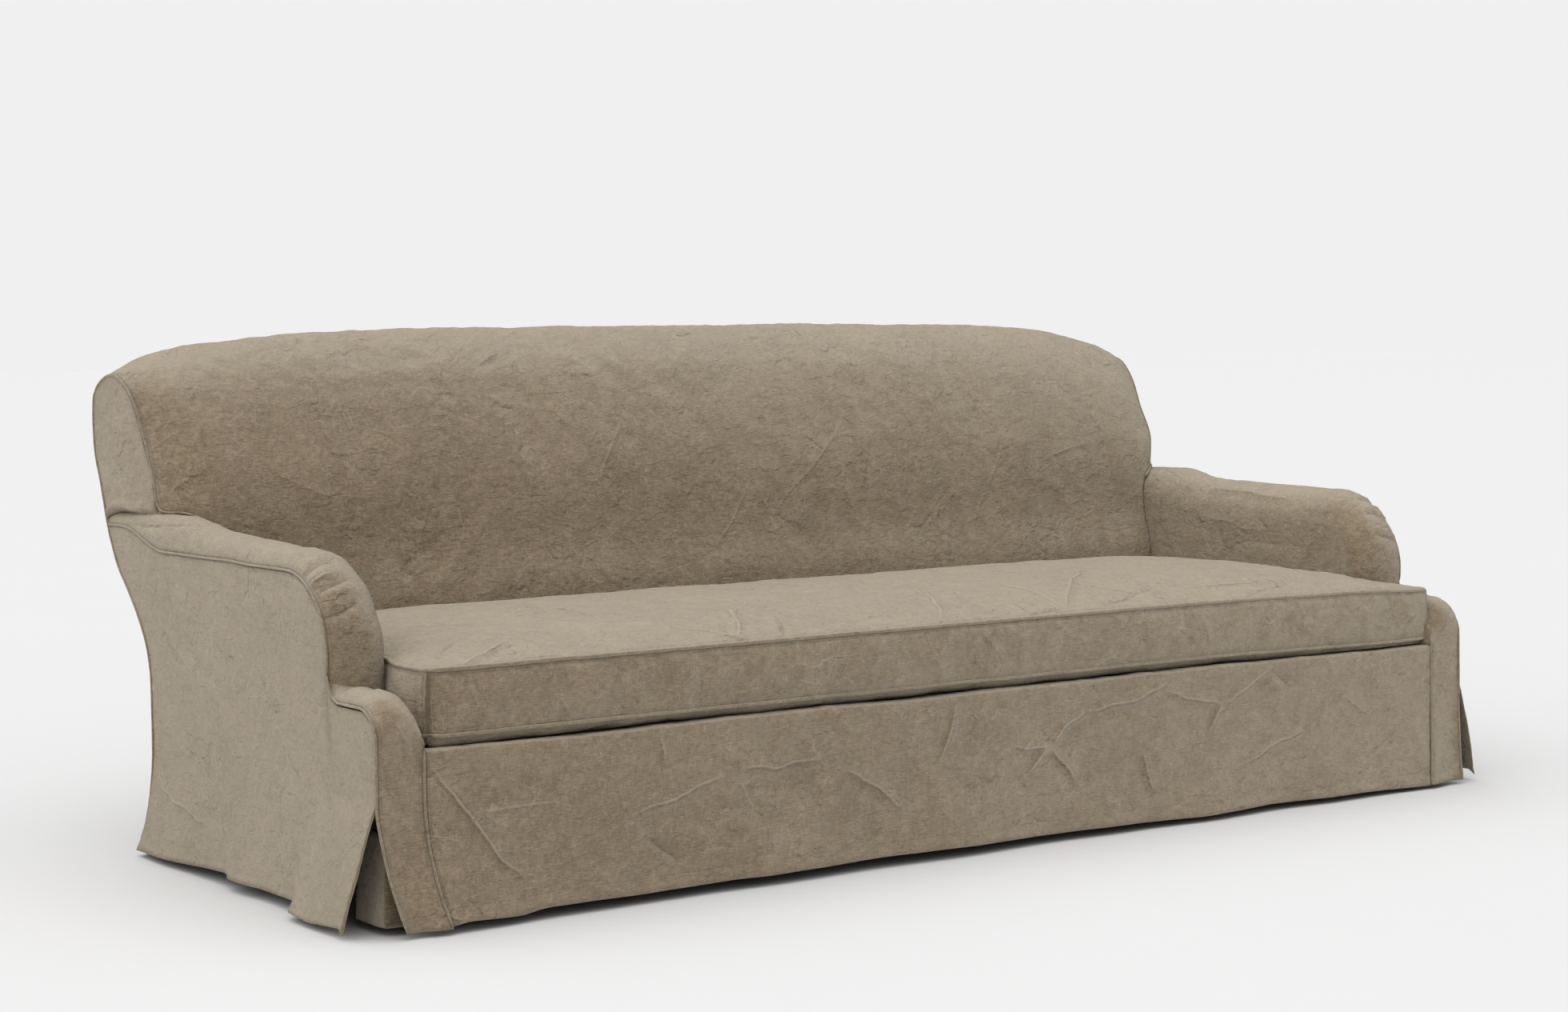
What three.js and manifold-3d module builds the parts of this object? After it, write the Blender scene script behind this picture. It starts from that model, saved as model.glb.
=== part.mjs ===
// A camelback sofa in a washed linen slipcover: a hardwood frame on six short legs, webbing
// and padding, set-back arms with an S-shaped front, one loose bench cushion, and the cut
// and sewn cloth panels of the cover, which hang to just above the floor.
//
// Millimetres, +Z up. X runs along the sofa, +Y to its back. The pieces are worked out with
// Y measured from the front of the base, and the whole is then centred over the floor.

import * as THREE from 'three';
import { mergeVertices } from 'three/addons/utils/BufferGeometryUtils.js';
import Module from 'manifold-3d';

const wasm = await Module();
wasm.setup();

// Driving sizes of the whole
const overallWidth = 2384;
const backHeight = 917;
const baseDepth = 820;
const backRake = 230;
const backSeatDepth = 59;

// Arms: the outer edge is a welt, and the padding crowns over it
const armWidth = 112;
const armHeight = 538;
const armSetback = 155;
const armCrown = 41;
const armRise = 35;
const armRiseLength = 175;
const noseDepth = 128;
const noseFootRise = 31;
const noseCrown = 5;
const noseRoll = 34;
const wingSeatRise = 19;
const wingSeatLength = 165;
const rollFadeLength = 76;

// The ledge of the base in front of each arm
const ledgeHeight = 345;
const ledgeRadius = 48;
const ledgeFillet = 38;
const ledgeCrown = 6;
const ledgeRoll = 56;
const ledgeWidth = 82;

// Cloth, fits and seats
const clothThickness = 2.4;
const fitGap = 0.3;
const carveGap = 0.6;
const ledgePadSlack = 1.2;
const overrun = 12;

// Hems of the hanging cloth
const hemHeight = 12;
const hemLift = 18;
const frontHemLift = 32;
const flareHeight = 200;
const frontFlare = 26;
const sideFlare = 44;
const rearFlare = 80;
const slitHeight = 176;
const slitSpread = 20;
const stripSlitSpread = 40;
const seamSlant = 28;
const pleatLength = 95;
const pleatSideInset = 10;
const pleatFrontInset = 5;

// Hardwood frame
const railThickness = 28;
const railHeight = 106;
const legHeight = 152;
const legTopWidth = 56;
const legFootWidth = 42;
const glideHeight = 6;
const glideRadius = 15;
const braceHeight = 80;
const cornerBlockLeg = 90;
const cornerBlockHeight = 70;
const frontEdgePad = 17;
const postDepth = 46;
const crestHeight = 105;
const crestDrop = 72;
const postRise = 210;
const lowerRailHeight = 70;
const lowerRailRise = 30;
const stumpDepth = 88;
const armPadDepth = 26;
const armRailHeight = 44;

// Suspension and deck
const webbingThickness = 2;
const webbingWidth = 60;
const webbingCount = 9;
const crossWebbingCount = 3;
const deckPadThickness = 10;
const dustClothThickness = 2;

// Bench cushion
const cushionClearance = 4;
const cushionEdge = 127;
const cushionCrown = 31;
const cushionPuff = 9;
const cushionCornerRadius = 12;
const zipLength = 1400;
const zipWidth = 9;

// Shapes of the back, as shares. Front: lean from the seat to the rear edge, then height.
// Rear: rake behind the base, then height.
const backFrontShares = [
  [0, 0.3], [0, 0.459], [0.08, 0.555], [0.122, 0.656], [0.153, 0.71], [0.208, 0.765],
  [0.312, 0.842], [0.427, 0.904], [0.566, 0.953], [0.705, 0.985], [0.826, 0.998],
  [0.93, 0.987], [0.983, 0.964],
];
const backRearShares = [
  [0.979, 0.964], [1, 0.918], [1, 0.863], [0.983, 0.791], [0.896, 0.721], [0.796, 0.637],
  [0.713, 0.59], [0.6, 0.546], [0.4, 0.498], [0.217, 0.45], [0.078, 0.399], [0.013, 0.348],
  [0, 0.287],
];
// Camel curve of the top: share of the half width, share of the height
const camelShares = [
  [0, 1], [0.35, 0.9995], [0.6, 0.996], [0.72, 0.989], [0.8, 0.981], [0.86, 0.97],
  [0.92, 0.954], [0.956, 0.941], [0.98, 0.927], [1, 0.908],
];
const camelFootShare = 0.656;
const backStationShares = [0, 0.35, 0.6, 0.72, 0.8, 0.86, 0.896, 0.93, 0.955, 0.975, 0.99, 1];
const endRoundStartShare = 0.9;
const endRoundShare = 0.52;
const endRoundFadeShares = [0.25, 0.95];
const endRoundFootShare = 0.8;
const wingTaper = 31;
const wingTaperDepth = 185;
const stumpNoseShare = 0.75;
const searchStep = 1e-5;
const armPeakShare = 0.36;
const armRollShare = 0.63;
const armRollStartShare = 0.42;
const armStationShares = [0, 0.04, 0.12, 0.36, 0.6, 0.78, 0.9, 0.97, 1];
const braceShare = 0.33;
const topSeamShare = 0.003;
const cushionStationShares = [0, 0.4, 0.65, 0.8, 0.9, 0.96, 0.99, 1];
const crownEndPower = 8;
const crownSidePower = 6;
const cornerPower = 24;
const arcSteps = 6;
const glideSides = 24;
const sideWaveShares = [0.05, 0.25, 0.5, 0.9, 0.55, 0.45, 1, 0.85];
const frontWaveShares = [0.9, 0.45, 0.2, 0.5, 0.25, 0.4, 0.2, 0.55, 0.3, 0.5, 0.95];

// Places that follow from the sizes
const halfWidth = overallWidth / 2;
const backFoot = baseDepth - backSeatDepth;
const noseFoot = ledgeHeight + ledgeFillet + noseFootRise;
const noseHeight = armHeight - noseFoot;
const armRoll = armRollShare * noseHeight;
const armInside = halfWidth - armWidth;
const frameOutside = halfWidth - (armWidth - railThickness) / 2;
const frameInside = frameOutside - railThickness;
const railTop = legHeight + railHeight;
const webbingTop = railTop + fitGap + webbingThickness;
const deckPadTop = webbingTop + fitGap + deckPadThickness;
const deckTop = deckPadTop + fitGap + clothThickness;
const clothSeat = clothThickness + fitGap;
const padInset = clothSeat + fitGap;
const frontRailFront = clothSeat + frontEdgePad + fitGap;
const frontRailRear = frontRailFront + railThickness;
const rearRailRear = baseDepth - clothSeat;
const rearRailFront = rearRailRear - railThickness;
const bodyBottom = legHeight;
const wingSeat = armHeight + armCrown + wingSeatRise;
const wingBottom = wingSeat + fitGap;
const backLean = baseDepth + backRake - backFoot;
const ledgeInside = halfWidth - ledgeWidth;
const overallDepth = frontFlare + baseDepth + backRake;

const linen = { color: 0x857865, roughness: 0.95 };
const foam = { color: 0xd9cfae, roughness: 0.9 };
const wadding = { color: 0xe6e1d6, roughness: 1 };
const beech = { color: 0xb48a5c, roughness: 0.6 };
const jute = { color: 0x8a7a55, roughness: 0.95 };
const cambric = { color: 0x2a2a2c, roughness: 1 };
const nylon = { color: 0x3a3a3a, roughness: 0.45 };
const brass = { color: 0x9c8a5e, roughness: 0.4, metalness: 0.8 };

const sofa = new THREE.Group();
const upright = new THREE.Group();
upright.position.y = frontFlare - overallDepth / 2;
sofa.add(upright);

// Adds one named piece
function addPiece(name, shape, finish) {
  const geometry = shape.isBufferGeometry ? shape : toGeometry(shape);
  const piece = new THREE.Mesh(geometry, new THREE.MeshStandardMaterial(finish));
  piece.name = name;
  upright.add(piece);
}

function toSolid(geometry) {
  const bare = geometry.clone();
  bare.deleteAttribute('normal');
  bare.deleteAttribute('uv');
  const merged = mergeVertices(bare);
  const vertProperties = Float32Array.from(merged.attributes.position.array);
  const triVerts = Uint32Array.from(merged.index.array);
  return new wasm.Manifold(new wasm.Mesh({ numProp: 3, vertProperties, triVerts }));
}

function toGeometry(solid) {
  const mesh = solid.getMesh();
  const geometry = new THREE.BufferGeometry();
  geometry.setAttribute('position', new THREE.BufferAttribute(mesh.vertProperties, 3));
  geometry.setIndex(new THREE.BufferAttribute(mesh.triVerts, 1));
  geometry.computeVertexNormals();
  return geometry;
}

// A closed mesh from corner points and triangles, turned so that its faces point out
function closedMesh(points, triangles) {
  const inward = triangles.reduce((sum, [a, b, c]) => {
    const across = new THREE.Vector3().crossVectors(points[b], points[c]);
    return sum + points[a].dot(across);
  }, 0) < 0;
  const faces = inward ? triangles.map(([a, b, c]) => [a, c, b]) : triangles;
  const geometry = new THREE.BufferGeometry();
  const places = points.flatMap((point) => point.toArray());
  geometry.setAttribute('position', new THREE.Float32BufferAttribute(places, 3));
  geometry.setIndex(faces.flat());
  geometry.computeVertexNormals();
  return geometry;
}

// Triangles that close one end ring of a loft, wound the way the ring runs
function capTriangles(ring, first) {
  const outline = ring.map((point) => new THREE.Vector2(point.y, point.z));
  const ringTurns = Math.sign(THREE.ShapeUtils.area(outline));
  return THREE.ShapeUtils.triangulateShape(outline, []).map((face) => {
    const turns = Math.sign(THREE.ShapeUtils.area(face.map((k) => outline[k])));
    const [a, b, c] = face.map((k) => k + first);
    return turns === ringTurns ? [a, b, c] : [a, c, b];
  });
}

// A solid skinned over rings of points, each ring at one place along X
function loft(rings) {
  const count = rings[0].length;
  const last = (rings.length - 1) * count;
  const triangles = [];
  for (let first = 0; first < last; first += count) {
    for (let k = 0; k < count; k += 1) {
      const a = first + k;
      const b = first + (k + 1) % count;
      triangles.push([a, b, b + count], [a, b + count, a + count]);
    }
  }
  const start = capTriangles(rings[0], 0).map(([a, b, c]) => [a, c, b]);
  triangles.push(...start, ...capTriangles(rings[rings.length - 1], last));
  return closedMesh(rings.flat(), triangles);
}

// A flat outline of [depth, height] points made into a plate from one X to another
function plate(outline, fromX, toX) {
  return loft([fromX, toX].map((x) => outline.map(([y, z]) => new THREE.Vector3(x, y, z))));
}

// A block between two X, two Y and two Z planes
function block(x, y, z) {
  const geometry = new THREE.BoxGeometry(x[1] - x[0], y[1] - y[0], z[1] - z[0]);
  return geometry.translate((x[0] + x[1]) / 2, (y[0] + y[1]) / 2, (z[0] + z[1]) / 2);
}

// A block given for the right side and mirrored to the side asked for
function sideBlock(side, x, y, z) {
  return block(side > 0 ? x : [-x[1], -x[0]], y, z);
}

// A sheet of cloth: place(u, v, inner) gives a point of its outer or its inner face
function clothSheet(columns, rows, place) {
  const points = [];
  for (const inner of [false, true]) {
    for (let row = 0; row <= rows; row += 1) {
      for (let column = 0; column <= columns; column += 1) {
        points.push(place(column / columns, row / rows, inner));
      }
    }
  }
  const wide = columns + 1;
  const back = wide * (rows + 1);
  const triangles = [];
  const quad = (a, b, c, d) => triangles.push([a, b, c], [a, c, d]);
  for (let row = 0; row < rows; row += 1) {
    for (let column = 0; column < columns; column += 1) {
      const a = row * wide + column;
      quad(a, a + 1, a + 1 + wide, a + wide);
      quad(back + a, back + a + wide, back + a + 1 + wide, back + a + 1);
    }
  }
  for (let column = 0; column < columns; column += 1) {
    const top = rows * wide + column;
    quad(column, back + column, back + column + 1, column + 1);
    quad(top, top + 1, back + top + 1, back + top);
  }
  for (let row = 0; row < rows; row += 1) {
    const left = row * wide;
    const right = left + columns;
    quad(left, left + wide, back + left + wide, back + left);
    quad(right, back + right, back + right + wide, right + wide);
  }
  return closedMesh(points, triangles);
}

// Value at a share along a row of evenly spaced values, smoothly joined
function smoothRow(values, share) {
  const place = THREE.MathUtils.clamp(share, 0, 1) * (values.length - 1);
  const k = Math.min(Math.floor(place), values.length - 2);
  const blend = THREE.MathUtils.smoothstep(place - k, 0, 1);
  return THREE.MathUtils.lerp(values[k], values[k + 1], blend);
}

// Height of the top of the back at a place along the sofa
function camelHeight(x) {
  const share = Math.min(Math.abs(x) / halfWidth, 1);
  const next = Math.max(camelShares.findIndex(([place]) => place >= share), 1);
  const [before, low] = camelShares[next - 1];
  const [after, high] = camelShares[next];
  return backHeight * THREE.MathUtils.mapLinear(share, before, after, low, high);
}

// Lowers the part of the back over the arms so that its top follows the camel curve
function camelLowered(x, z) {
  const foot = camelFootShare * backHeight;
  const squeeze = (camelHeight(x) - foot) / (backHeight - foot);
  return z > foot ? foot + (z - foot) * squeeze : z;
}

const backFront = new THREE.SplineCurve(backFrontShares.map(([lean, height]) => (
  new THREE.Vector2(backFoot + lean * backLean, height * backHeight))));
const backRear = new THREE.SplineCurve(backRearShares.map(([rake, height]) => (
  new THREE.Vector2(baseDepth + rake * backRake, height * backHeight))));

// A point of one of the back's curves, moved into the body by an inset
function backPoint(curve, share, x, inset) {
  const point = curve.getPoint(share);
  const along = curve.getTangent(share);
  const y = point.x + along.y * inset;
  const z = point.y - along.x * inset;
  return new THREE.Vector3(x, y, camelLowered(x, z));
}

// Share along the rear curve at which it passes a height
function rearShareAt(height) {
  let low = 0;
  let high = 1;
  while (high - low > searchStep) {
    const middle = (low + high) / 2;
    if (backRear.getPoint(middle).y > height) low = middle;
    else high = middle;
  }
  return low;
}

function rearDepthAt(height) {
  return height < backRear.getPoint(1).y ? baseDepth : backRear.getPoint(rearShareAt(height)).x;
}

const frontSteps = 14;
const rearSteps = 12;

// One cross-section of the back: up the front, over the top, down the rear to the bottom
function backRing(x, inset, rearInset, bottom) {
  const endShare = Math.min(Math.abs(x) / halfWidth, 1);
  const roundShare = Math.max(endShare - endRoundStartShare, 0) / (1 - endRoundStartShare);
  const round = endRoundShare * roundShare * roundShare;
  const ring = [];
  for (let k = 0; k <= frontSteps; k += 1) {
    const share = k / frontSteps;
    const point = backPoint(backFront, share, x, inset);
    const fade = THREE.MathUtils.smoothstep(share, ...endRoundFadeShares);
    const risen = THREE.MathUtils.smoothstep(point.z, endRoundFootShare * wingSeat, wingSeat);
    const room = Math.max(rearDepthAt(point.z) - point.y, 0);
    point.y += round * (1 - fade) * risen * room;
    ring.push(point);
  }
  for (let k = 1; k <= rearSteps; k += 1) {
    ring.push(backPoint(backRear, k / rearSteps, x, rearInset));
  }
  ring.push(new THREE.Vector3(x, ring[ring.length - 1].y, bottom));
  ring.push(new THREE.Vector3(x, ring[0].y, bottom));
  return ring;
}

// The body of the back, as a loft along the sofa
function backBody(inset, rearInset, bottom) {
  const places = backStationShares.map((share) => share * halfWidth);
  const stations = [...places.slice(1).reverse().map((x) => -x), ...places];
  return toSolid(loft(stations.map((x) => backRing(x, inset, rearInset, bottom))));
}

// A layer between two insets of the rear curve, from the top of the back to the floor
function rearLayer(inset, outward, beyondEnds) {
  const places = backStationShares.map((share) => share * (halfWidth - clothSeat));
  if (beyondEnds > 0) places.push(halfWidth + beyondEnds);
  const stations = [...places.slice(1).reverse().map((x) => -x), ...places];
  const skirtRows = 5;
  const rows = skirtRows + rearSteps;
  return toSolid(clothSheet(stations.length - 1, rows, (u, v, inner) => {
    const x = stations[Math.round(u * (stations.length - 1))];
    const row = Math.round(v * rows);
    const depth = inner ? inset : -outward;
    const share = Math.max((rows - row) / rearSteps, beyondEnds > 0 ? 0 : topSeamShare);
    if (row >= skirtRows) return backPoint(backRear, share, x, depth);
    const lift = hemLift * Math.sin(Math.PI * u);
    const top = backRear.getPoint(1).y;
    const z = THREE.MathUtils.lerp(hemHeight + lift, top, row / skirtRows);
    return new THREE.Vector3(x, baseDepth - depth + rearFlare * hemFall(z), z);
  }));
}

// Takes the room of both arms out of a body of the back
function clearOfArms(solid, clearance) {
  return [-1, 1].reduce((body, side) => {
    const x = [armInside - clearance, halfWidth + overrun];
    const y = [0, baseDepth + backRake + overrun];
    return body.subtract(toSolid(sideBlock(side, x, y, [0, wingSeat + clearance])));
  }, solid);
}

// All that lies outside the slanted plane of a gusset, moved in by an inset. The ends of the
// back draw in towards the front.
function outsideWing(side, inset) {
  const rear = baseDepth + backRake;
  const drawnIn = (wingTaper * baseDepth) / wingTaperDepth;
  const far = halfWidth + overrun;
  const plan = new THREE.Shape([
    new THREE.Vector2(side * (halfWidth - inset), rear),
    new THREE.Vector2(side * (halfWidth - inset - drawnIn), backRake),
    new THREE.Vector2(side * far, backRake),
    new THREE.Vector2(side * far, rear + overrun),
    new THREE.Vector2(side * (halfWidth - inset), rear + overrun),
  ]);
  const prism = new THREE.ExtrudeGeometry(plan, { depth: backHeight, bevelEnabled: false });
  return toSolid(prism.translate(0, 0, wingSeat - overrun));
}

// Height of the arm's outer welt at a depth, level and then rising under the back
function weltHeight(depth) {
  return armHeight + armRise * THREE.MathUtils.smoothstep(depth, backFoot, backFoot + armRiseLength);
}

// Height of the top of the arm's padding at a depth
function crownHeight(depth) {
  const start = backFoot - wingSeatLength;
  return armHeight + armCrown + wingSeatRise * THREE.MathUtils.smoothstep(depth, start, backFoot);
}

// The arm's outline from its front foot over the nose to the back. Each point says how far
// the padding crowns over the outline and how far it rolls down on the inside.
function armOutline() {
  const noseRear = armSetback + noseDepth;
  const points = [bodyBottom, ledgeHeight, ledgeHeight + ledgeFillet].map((z) => (
    { y: armSetback, z, crown: noseCrown, roll: noseRoll }));
  for (let k = 0; k <= arcSteps; k += 1) {
    const angle = (k / arcSteps) * Math.PI / 2;
    const top = Math.sin(angle);
    points.push({
      y: noseRear - noseDepth * Math.cos(angle),
      z: noseFoot + noseHeight * top,
      crown: THREE.MathUtils.lerp(noseCrown, armCrown, top * top),
      roll: THREE.MathUtils.lerp(noseRoll, armRoll, top * top),
    });
  }
  const topSteps = 9;
  const rearTop = rearDepthAt(armHeight + armRise);
  for (let k = 1; k <= topSteps; k += 1) {
    const y = THREE.MathUtils.lerp(noseRear, rearTop, k / topSteps);
    const z = weltHeight(y);
    const crown = crownHeight(y) - z;
    const covered = THREE.MathUtils.smoothstep(y, backFoot, backFoot + rollFadeLength);
    points.push({ y, z, crown, roll: THREE.MathUtils.lerp(armRoll, crown, covered) });
  }
  return points;
}

// The arm's rear edge, from its top down to the bottom of the body
function armRearOutline(inset) {
  const start = rearShareAt(armHeight + armRise);
  const steps = 9;
  const points = [];
  for (let k = 0; k <= steps; k += 1) {
    const place = backPoint(backRear, THREE.MathUtils.lerp(start, 1, k / steps), 0, inset);
    points.push([place.y, place.z]);
  }
  points.push([baseDepth - inset, bodyBottom]);
  return points;
}

// Points of an outline pushed out along their normals
function pushedOut(points, distance) {
  return points.map((point, k) => {
    const before = points[Math.max(k - 1, 0)];
    const after = points[Math.min(k + 1, points.length - 1)];
    const along = new THREE.Vector2(after.y - before.y, after.z - before.z).normalize();
    const push = distance(point);
    return [point.y - along.y * push, point.z + along.x * push];
  });
}

// How far a rounded edge stands over its outline: it crowns from the outer edge inwards and
// rolls over at the inner edge
function crownAndRoll(point, share) {
  const outer = Math.max(1 - share / armPeakShare, 0);
  const inner = Math.max((share - armRollStartShare) / (1 - armRollStartShare), 0);
  const crown = point.crown * Math.sqrt(1 - outer * outer);
  return crown - point.roll * (1 - Math.sqrt(1 - inner * inner));
}

// A body with the arm's outline, from its outer face to its inner one
function armBody(side, { inset, rearInset, outer, inner, bottom }) {
  const outline = armOutline();
  const rear = armRearOutline(rearInset);
  const ringAt = (x, share) => {
    const front = pushedOut(outline, (point) => crownAndRoll(point, share) - inset);
    front[front.length - 1][0] = Math.min(front[front.length - 1][0], rear[0][0]);
    const ring = [[front[0][0], bottom], ...front.slice(1), ...rear.slice(1, -1)];
    ring.push([rear[rear.length - 1][0], bottom]);
    return ring.map(([y, z]) => new THREE.Vector3(side * x, y, z));
  };
  const rings = armStationShares.map((share) => (
    ringAt(THREE.MathUtils.lerp(halfWidth, inner, share), share)));
  const skin = outer > halfWidth ? [ringAt(outer, 0)] : [];
  const body = toSolid(loft([...skin, ...rings]));
  if (outer >= halfWidth) return body;
  const x = [outer, halfWidth + overrun];
  const y = [-overrun, baseDepth + backRake + overrun];
  return body.subtract(toSolid(sideBlock(side, x, y, [-overrun, backHeight])));
}

// The outline of the ledge in front of the arm, from its front foot to the arm
function ledgeOutline() {
  const points = [{ y: 0, z: bodyBottom, crown: 0, roll: 0 }];
  for (let k = 0; k <= arcSteps; k += 1) {
    const angle = (k / arcSteps) * Math.PI / 2;
    const top = Math.sin(angle);
    points.push({
      y: ledgeRadius * (1 - Math.cos(angle)),
      z: ledgeHeight - ledgeRadius * (1 - top),
      crown: ledgeCrown * top,
      roll: ledgeRoll * top,
    });
  }
  for (let k = 0; k <= arcSteps; k += 1) {
    const angle = (k / arcSteps) * Math.PI / 2;
    points.push({
      y: armSetback - ledgeFillet * (1 - Math.sin(angle)),
      z: ledgeHeight + ledgeFillet * (1 - Math.cos(angle)),
      crown: ledgeCrown,
      roll: ledgeRoll,
    });
  }
  return points;
}

// A body with the ledge's outline, cut clear of the arm behind it
function ledgeBody(side, { inset, outer, inner, bottom, armClearance }) {
  const outline = ledgeOutline();
  const ringAt = (x, share) => {
    const front = pushedOut(outline, (point) => crownAndRoll(point, share) - inset);
    const rear = armSetback + noseDepth / 2;
    const ring = [[front[0][0], bottom], ...front.slice(1)];
    ring.push([rear, front[front.length - 1][1]], [rear, bottom]);
    return ring.map(([y, z]) => new THREE.Vector3(side * x, y, z));
  };
  const rings = armStationShares.map((share) => (
    ringAt(THREE.MathUtils.lerp(halfWidth, inner, share), share)));
  const skin = outer > halfWidth ? [ringAt(outer, 0)] : [];
  const body = toSolid(loft([...skin, ...rings]));
  const arm = armBody(side, {
    inset: -armClearance,
    rearInset: 0,
    outer: halfWidth + overrun,
    inner: armInside,
    bottom: bodyBottom - overrun,
  });
  const behind = sideBlock(side, [armInside, halfWidth + overrun],
    [armSetback - fitGap, baseDepth], [bodyBottom - overrun, armHeight]);
  const cleared = body.subtract(arm).subtract(toSolid(behind));
  if (outer >= halfWidth) return cleared;
  const x = [outer, halfWidth + overrun];
  return cleared.subtract(toSolid(sideBlock(side, x, [-overrun, baseDepth], [-overrun, backHeight])));
}

// Frame pieces take a grow value: zero for the piece, the fit gap for the room cut for it
function grown(range, grow) {
  return [range[0] - grow, range[1] + grow];
}

// Room cut for a piece at the rear of the back runs out through the rear face
function rearEdge(grow) {
  return grow > 0 ? clothSeat - overrun : clothSeat;
}

function sideRail(side, grow) {
  return sideBlock(side, grown([frameInside, frameOutside], grow),
    grown([frontRailFront, rearRailRear], grow), grown([legHeight, railTop], grow));
}

function crossBeam(y, z, grow) {
  const reach = frameInside - fitGap + grow;
  return block([-reach, reach], grown(y, grow), grown(z, grow));
}

// The front post of the arm, with the arm's own nose
function armStump(side, grow) {
  const front = armSetback + armPadDepth - grow;
  const rear = armSetback + armPadDepth + stumpDepth + grow;
  const top = armHeight - armPadDepth + grow;
  const shoulder = Math.min(noseDepth, stumpDepth) * stumpNoseShare;
  const drop = noseHeight * stumpNoseShare;
  const outline = [[rear, railTop + fitGap - grow], [front, railTop + fitGap - grow]];
  for (let k = 0; k <= arcSteps; k += 1) {
    const angle = (k / arcSteps) * Math.PI / 2;
    outline.push([
      front + shoulder * (1 - Math.cos(angle)),
      top - drop * (1 - Math.sin(angle)),
    ]);
  }
  outline.push([rear, top]);
  return plate(outline, side * (frameInside - grow), side * (frameOutside + grow));
}

// A curved upright along the rear curve, between two heights of that curve
function curvedUpright(x, heights, depth, grow) {
  const [low, high] = grown(heights, grow).map(rearShareAt);
  const steps = 12;
  const rear = [];
  const front = [];
  for (let k = 0; k <= steps; k += 1) {
    const share = THREE.MathUtils.lerp(high, low, k / steps);
    const outer = backPoint(backRear, share, x, rearEdge(grow));
    const inner = backPoint(backRear, share, x, clothSeat + depth + grow);
    rear.push([outer.y, outer.z]);
    front.unshift([inner.y, inner.z]);
  }
  const half = railThickness / 2 + grow;
  return { outline: [...rear, ...front], from: x - half, to: x + half };
}

const postHeights = [railTop, camelFootShare * backHeight + postRise];

function backPost(side, grow) {
  const x = (frameInside + frameOutside) / 2;
  const { outline, from, to } = curvedUpright(x, postHeights, postDepth, grow);
  const foot = [[baseDepth - rearEdge(grow), railTop + fitGap - grow],
    [baseDepth - clothSeat - postDepth - grow, railTop + fitGap - grow]];
  const steps = outline.length / 2;
  const whole = [...outline.slice(0, steps - 1), ...foot, ...outline.slice(steps + 1)];
  return plate(whole, side * from, side * to);
}

// A rail that follows the rear curve and the camel curve, between two shares of the rear curve
function backRail(shares, depth, grow) {
  const steps = 3;
  const end = frameInside - fitGap + grow;
  const places = backStationShares.map((share) => share * end);
  const stations = [...places.slice(1).reverse().map((x) => -x), ...places];
  return loft(stations.map((x) => {
    const rear = [];
    const front = [];
    for (let k = 0; k <= steps; k += 1) {
      const share = THREE.MathUtils.lerp(shares[0], shares[1], k / steps);
      rear.push(backPoint(backRear, share, x, rearEdge(grow)));
      front.unshift(backPoint(backRear, share, x, clothSeat + depth + grow));
    }
    return [...rear, ...front];
  }));
}

const crestTop = backHeight - crestDrop;
const lowerRailFoot = railTop + lowerRailRise;

function crestRail(grow) {
  const shares = [crestTop + grow, crestTop - crestHeight - grow].map(rearShareAt);
  return backRail(shares, railThickness, grow);
}

function lowerBackRail(grow) {
  const heights = [lowerRailFoot + lowerRailHeight + grow, lowerRailFoot - grow];
  return backRail(heights.map(rearShareAt), railThickness, grow);
}

function backStile(side, grow) {
  const heights = [lowerRailFoot + lowerRailHeight + fitGap, crestTop - crestHeight - fitGap];
  const x = side * braceShare * halfWidth;
  const { outline, from, to } = curvedUpright(x, heights, railThickness, grow);
  return plate(outline, from, to);
}

function armTopRail(side, grow) {
  const top = armHeight - armPadDepth;
  const far = baseDepth + backRake;
  const front = armSetback + armPadDepth + stumpDepth + fitGap;
  const rail = sideBlock(side, grown([frameInside, frameOutside], grow),
    grown([front, far], grow), grown([top - armRailHeight, top], grow));
  const x = (frameInside + frameOutside) / 2;
  const { outline } = curvedUpright(x, postHeights, postDepth, fitGap - grow);
  const postFront = outline.slice(outline.length / 2);
  const reach = grown([frameInside, frameOutside], overrun).map((place) => side * place);
  const behind = plate([...postFront, [far + overrun, backHeight], [far + overrun, 0],
    [postFront[0][0], 0]], ...reach);
  return toSolid(rail).subtract(toSolid(behind));
}

// Woven straps across the seat opening, joined where they cross
function webbing(grow) {
  const z = grown([railTop + fitGap, webbingTop], grow);
  const y = [frontRailFront, rearRailRear];
  const half = webbingWidth / 2 + grow;
  const span = 2 * armInside - webbingWidth;
  const straps = [];
  for (let k = 0; k < webbingCount; k += 1) {
    const x = span * ((k + 0.5) / webbingCount - 0.5);
    straps.push(toSolid(block([x - half, x + half], grown(y, grow), z)));
  }
  const first = armSetback + armPadDepth + stumpDepth + webbingWidth;
  const last = rearRailFront - postDepth - webbingWidth;
  for (let k = 0; k < crossWebbingCount; k += 1) {
    const middle = THREE.MathUtils.lerp(first, last, k / (crossWebbingCount - 1));
    const reach = frameOutside + grow;
    straps.push(toSolid(block([-reach, reach], [middle - half, middle + half], z)));
  }
  return straps.reduce((all, strap) => all.add(strap));
}

// Where the legs stand: [name, x, y]
const legInset = legTopWidth / 2;
const legPlaces = [
  ['front_left', legInset - frameInside - railThickness / 2, frontRailFront + legInset],
  ['front_right', frameInside + railThickness / 2 - legInset, frontRailFront + legInset],
  ['rear_left', legInset - frameInside - railThickness / 2, rearRailRear - legInset],
  ['rear_right', frameInside + railThickness / 2 - legInset, rearRailRear - legInset],
  ['front_centre', 0, frontRailFront + legInset],
  ['rear_centre', 0, rearRailRear - legInset],
];

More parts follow.
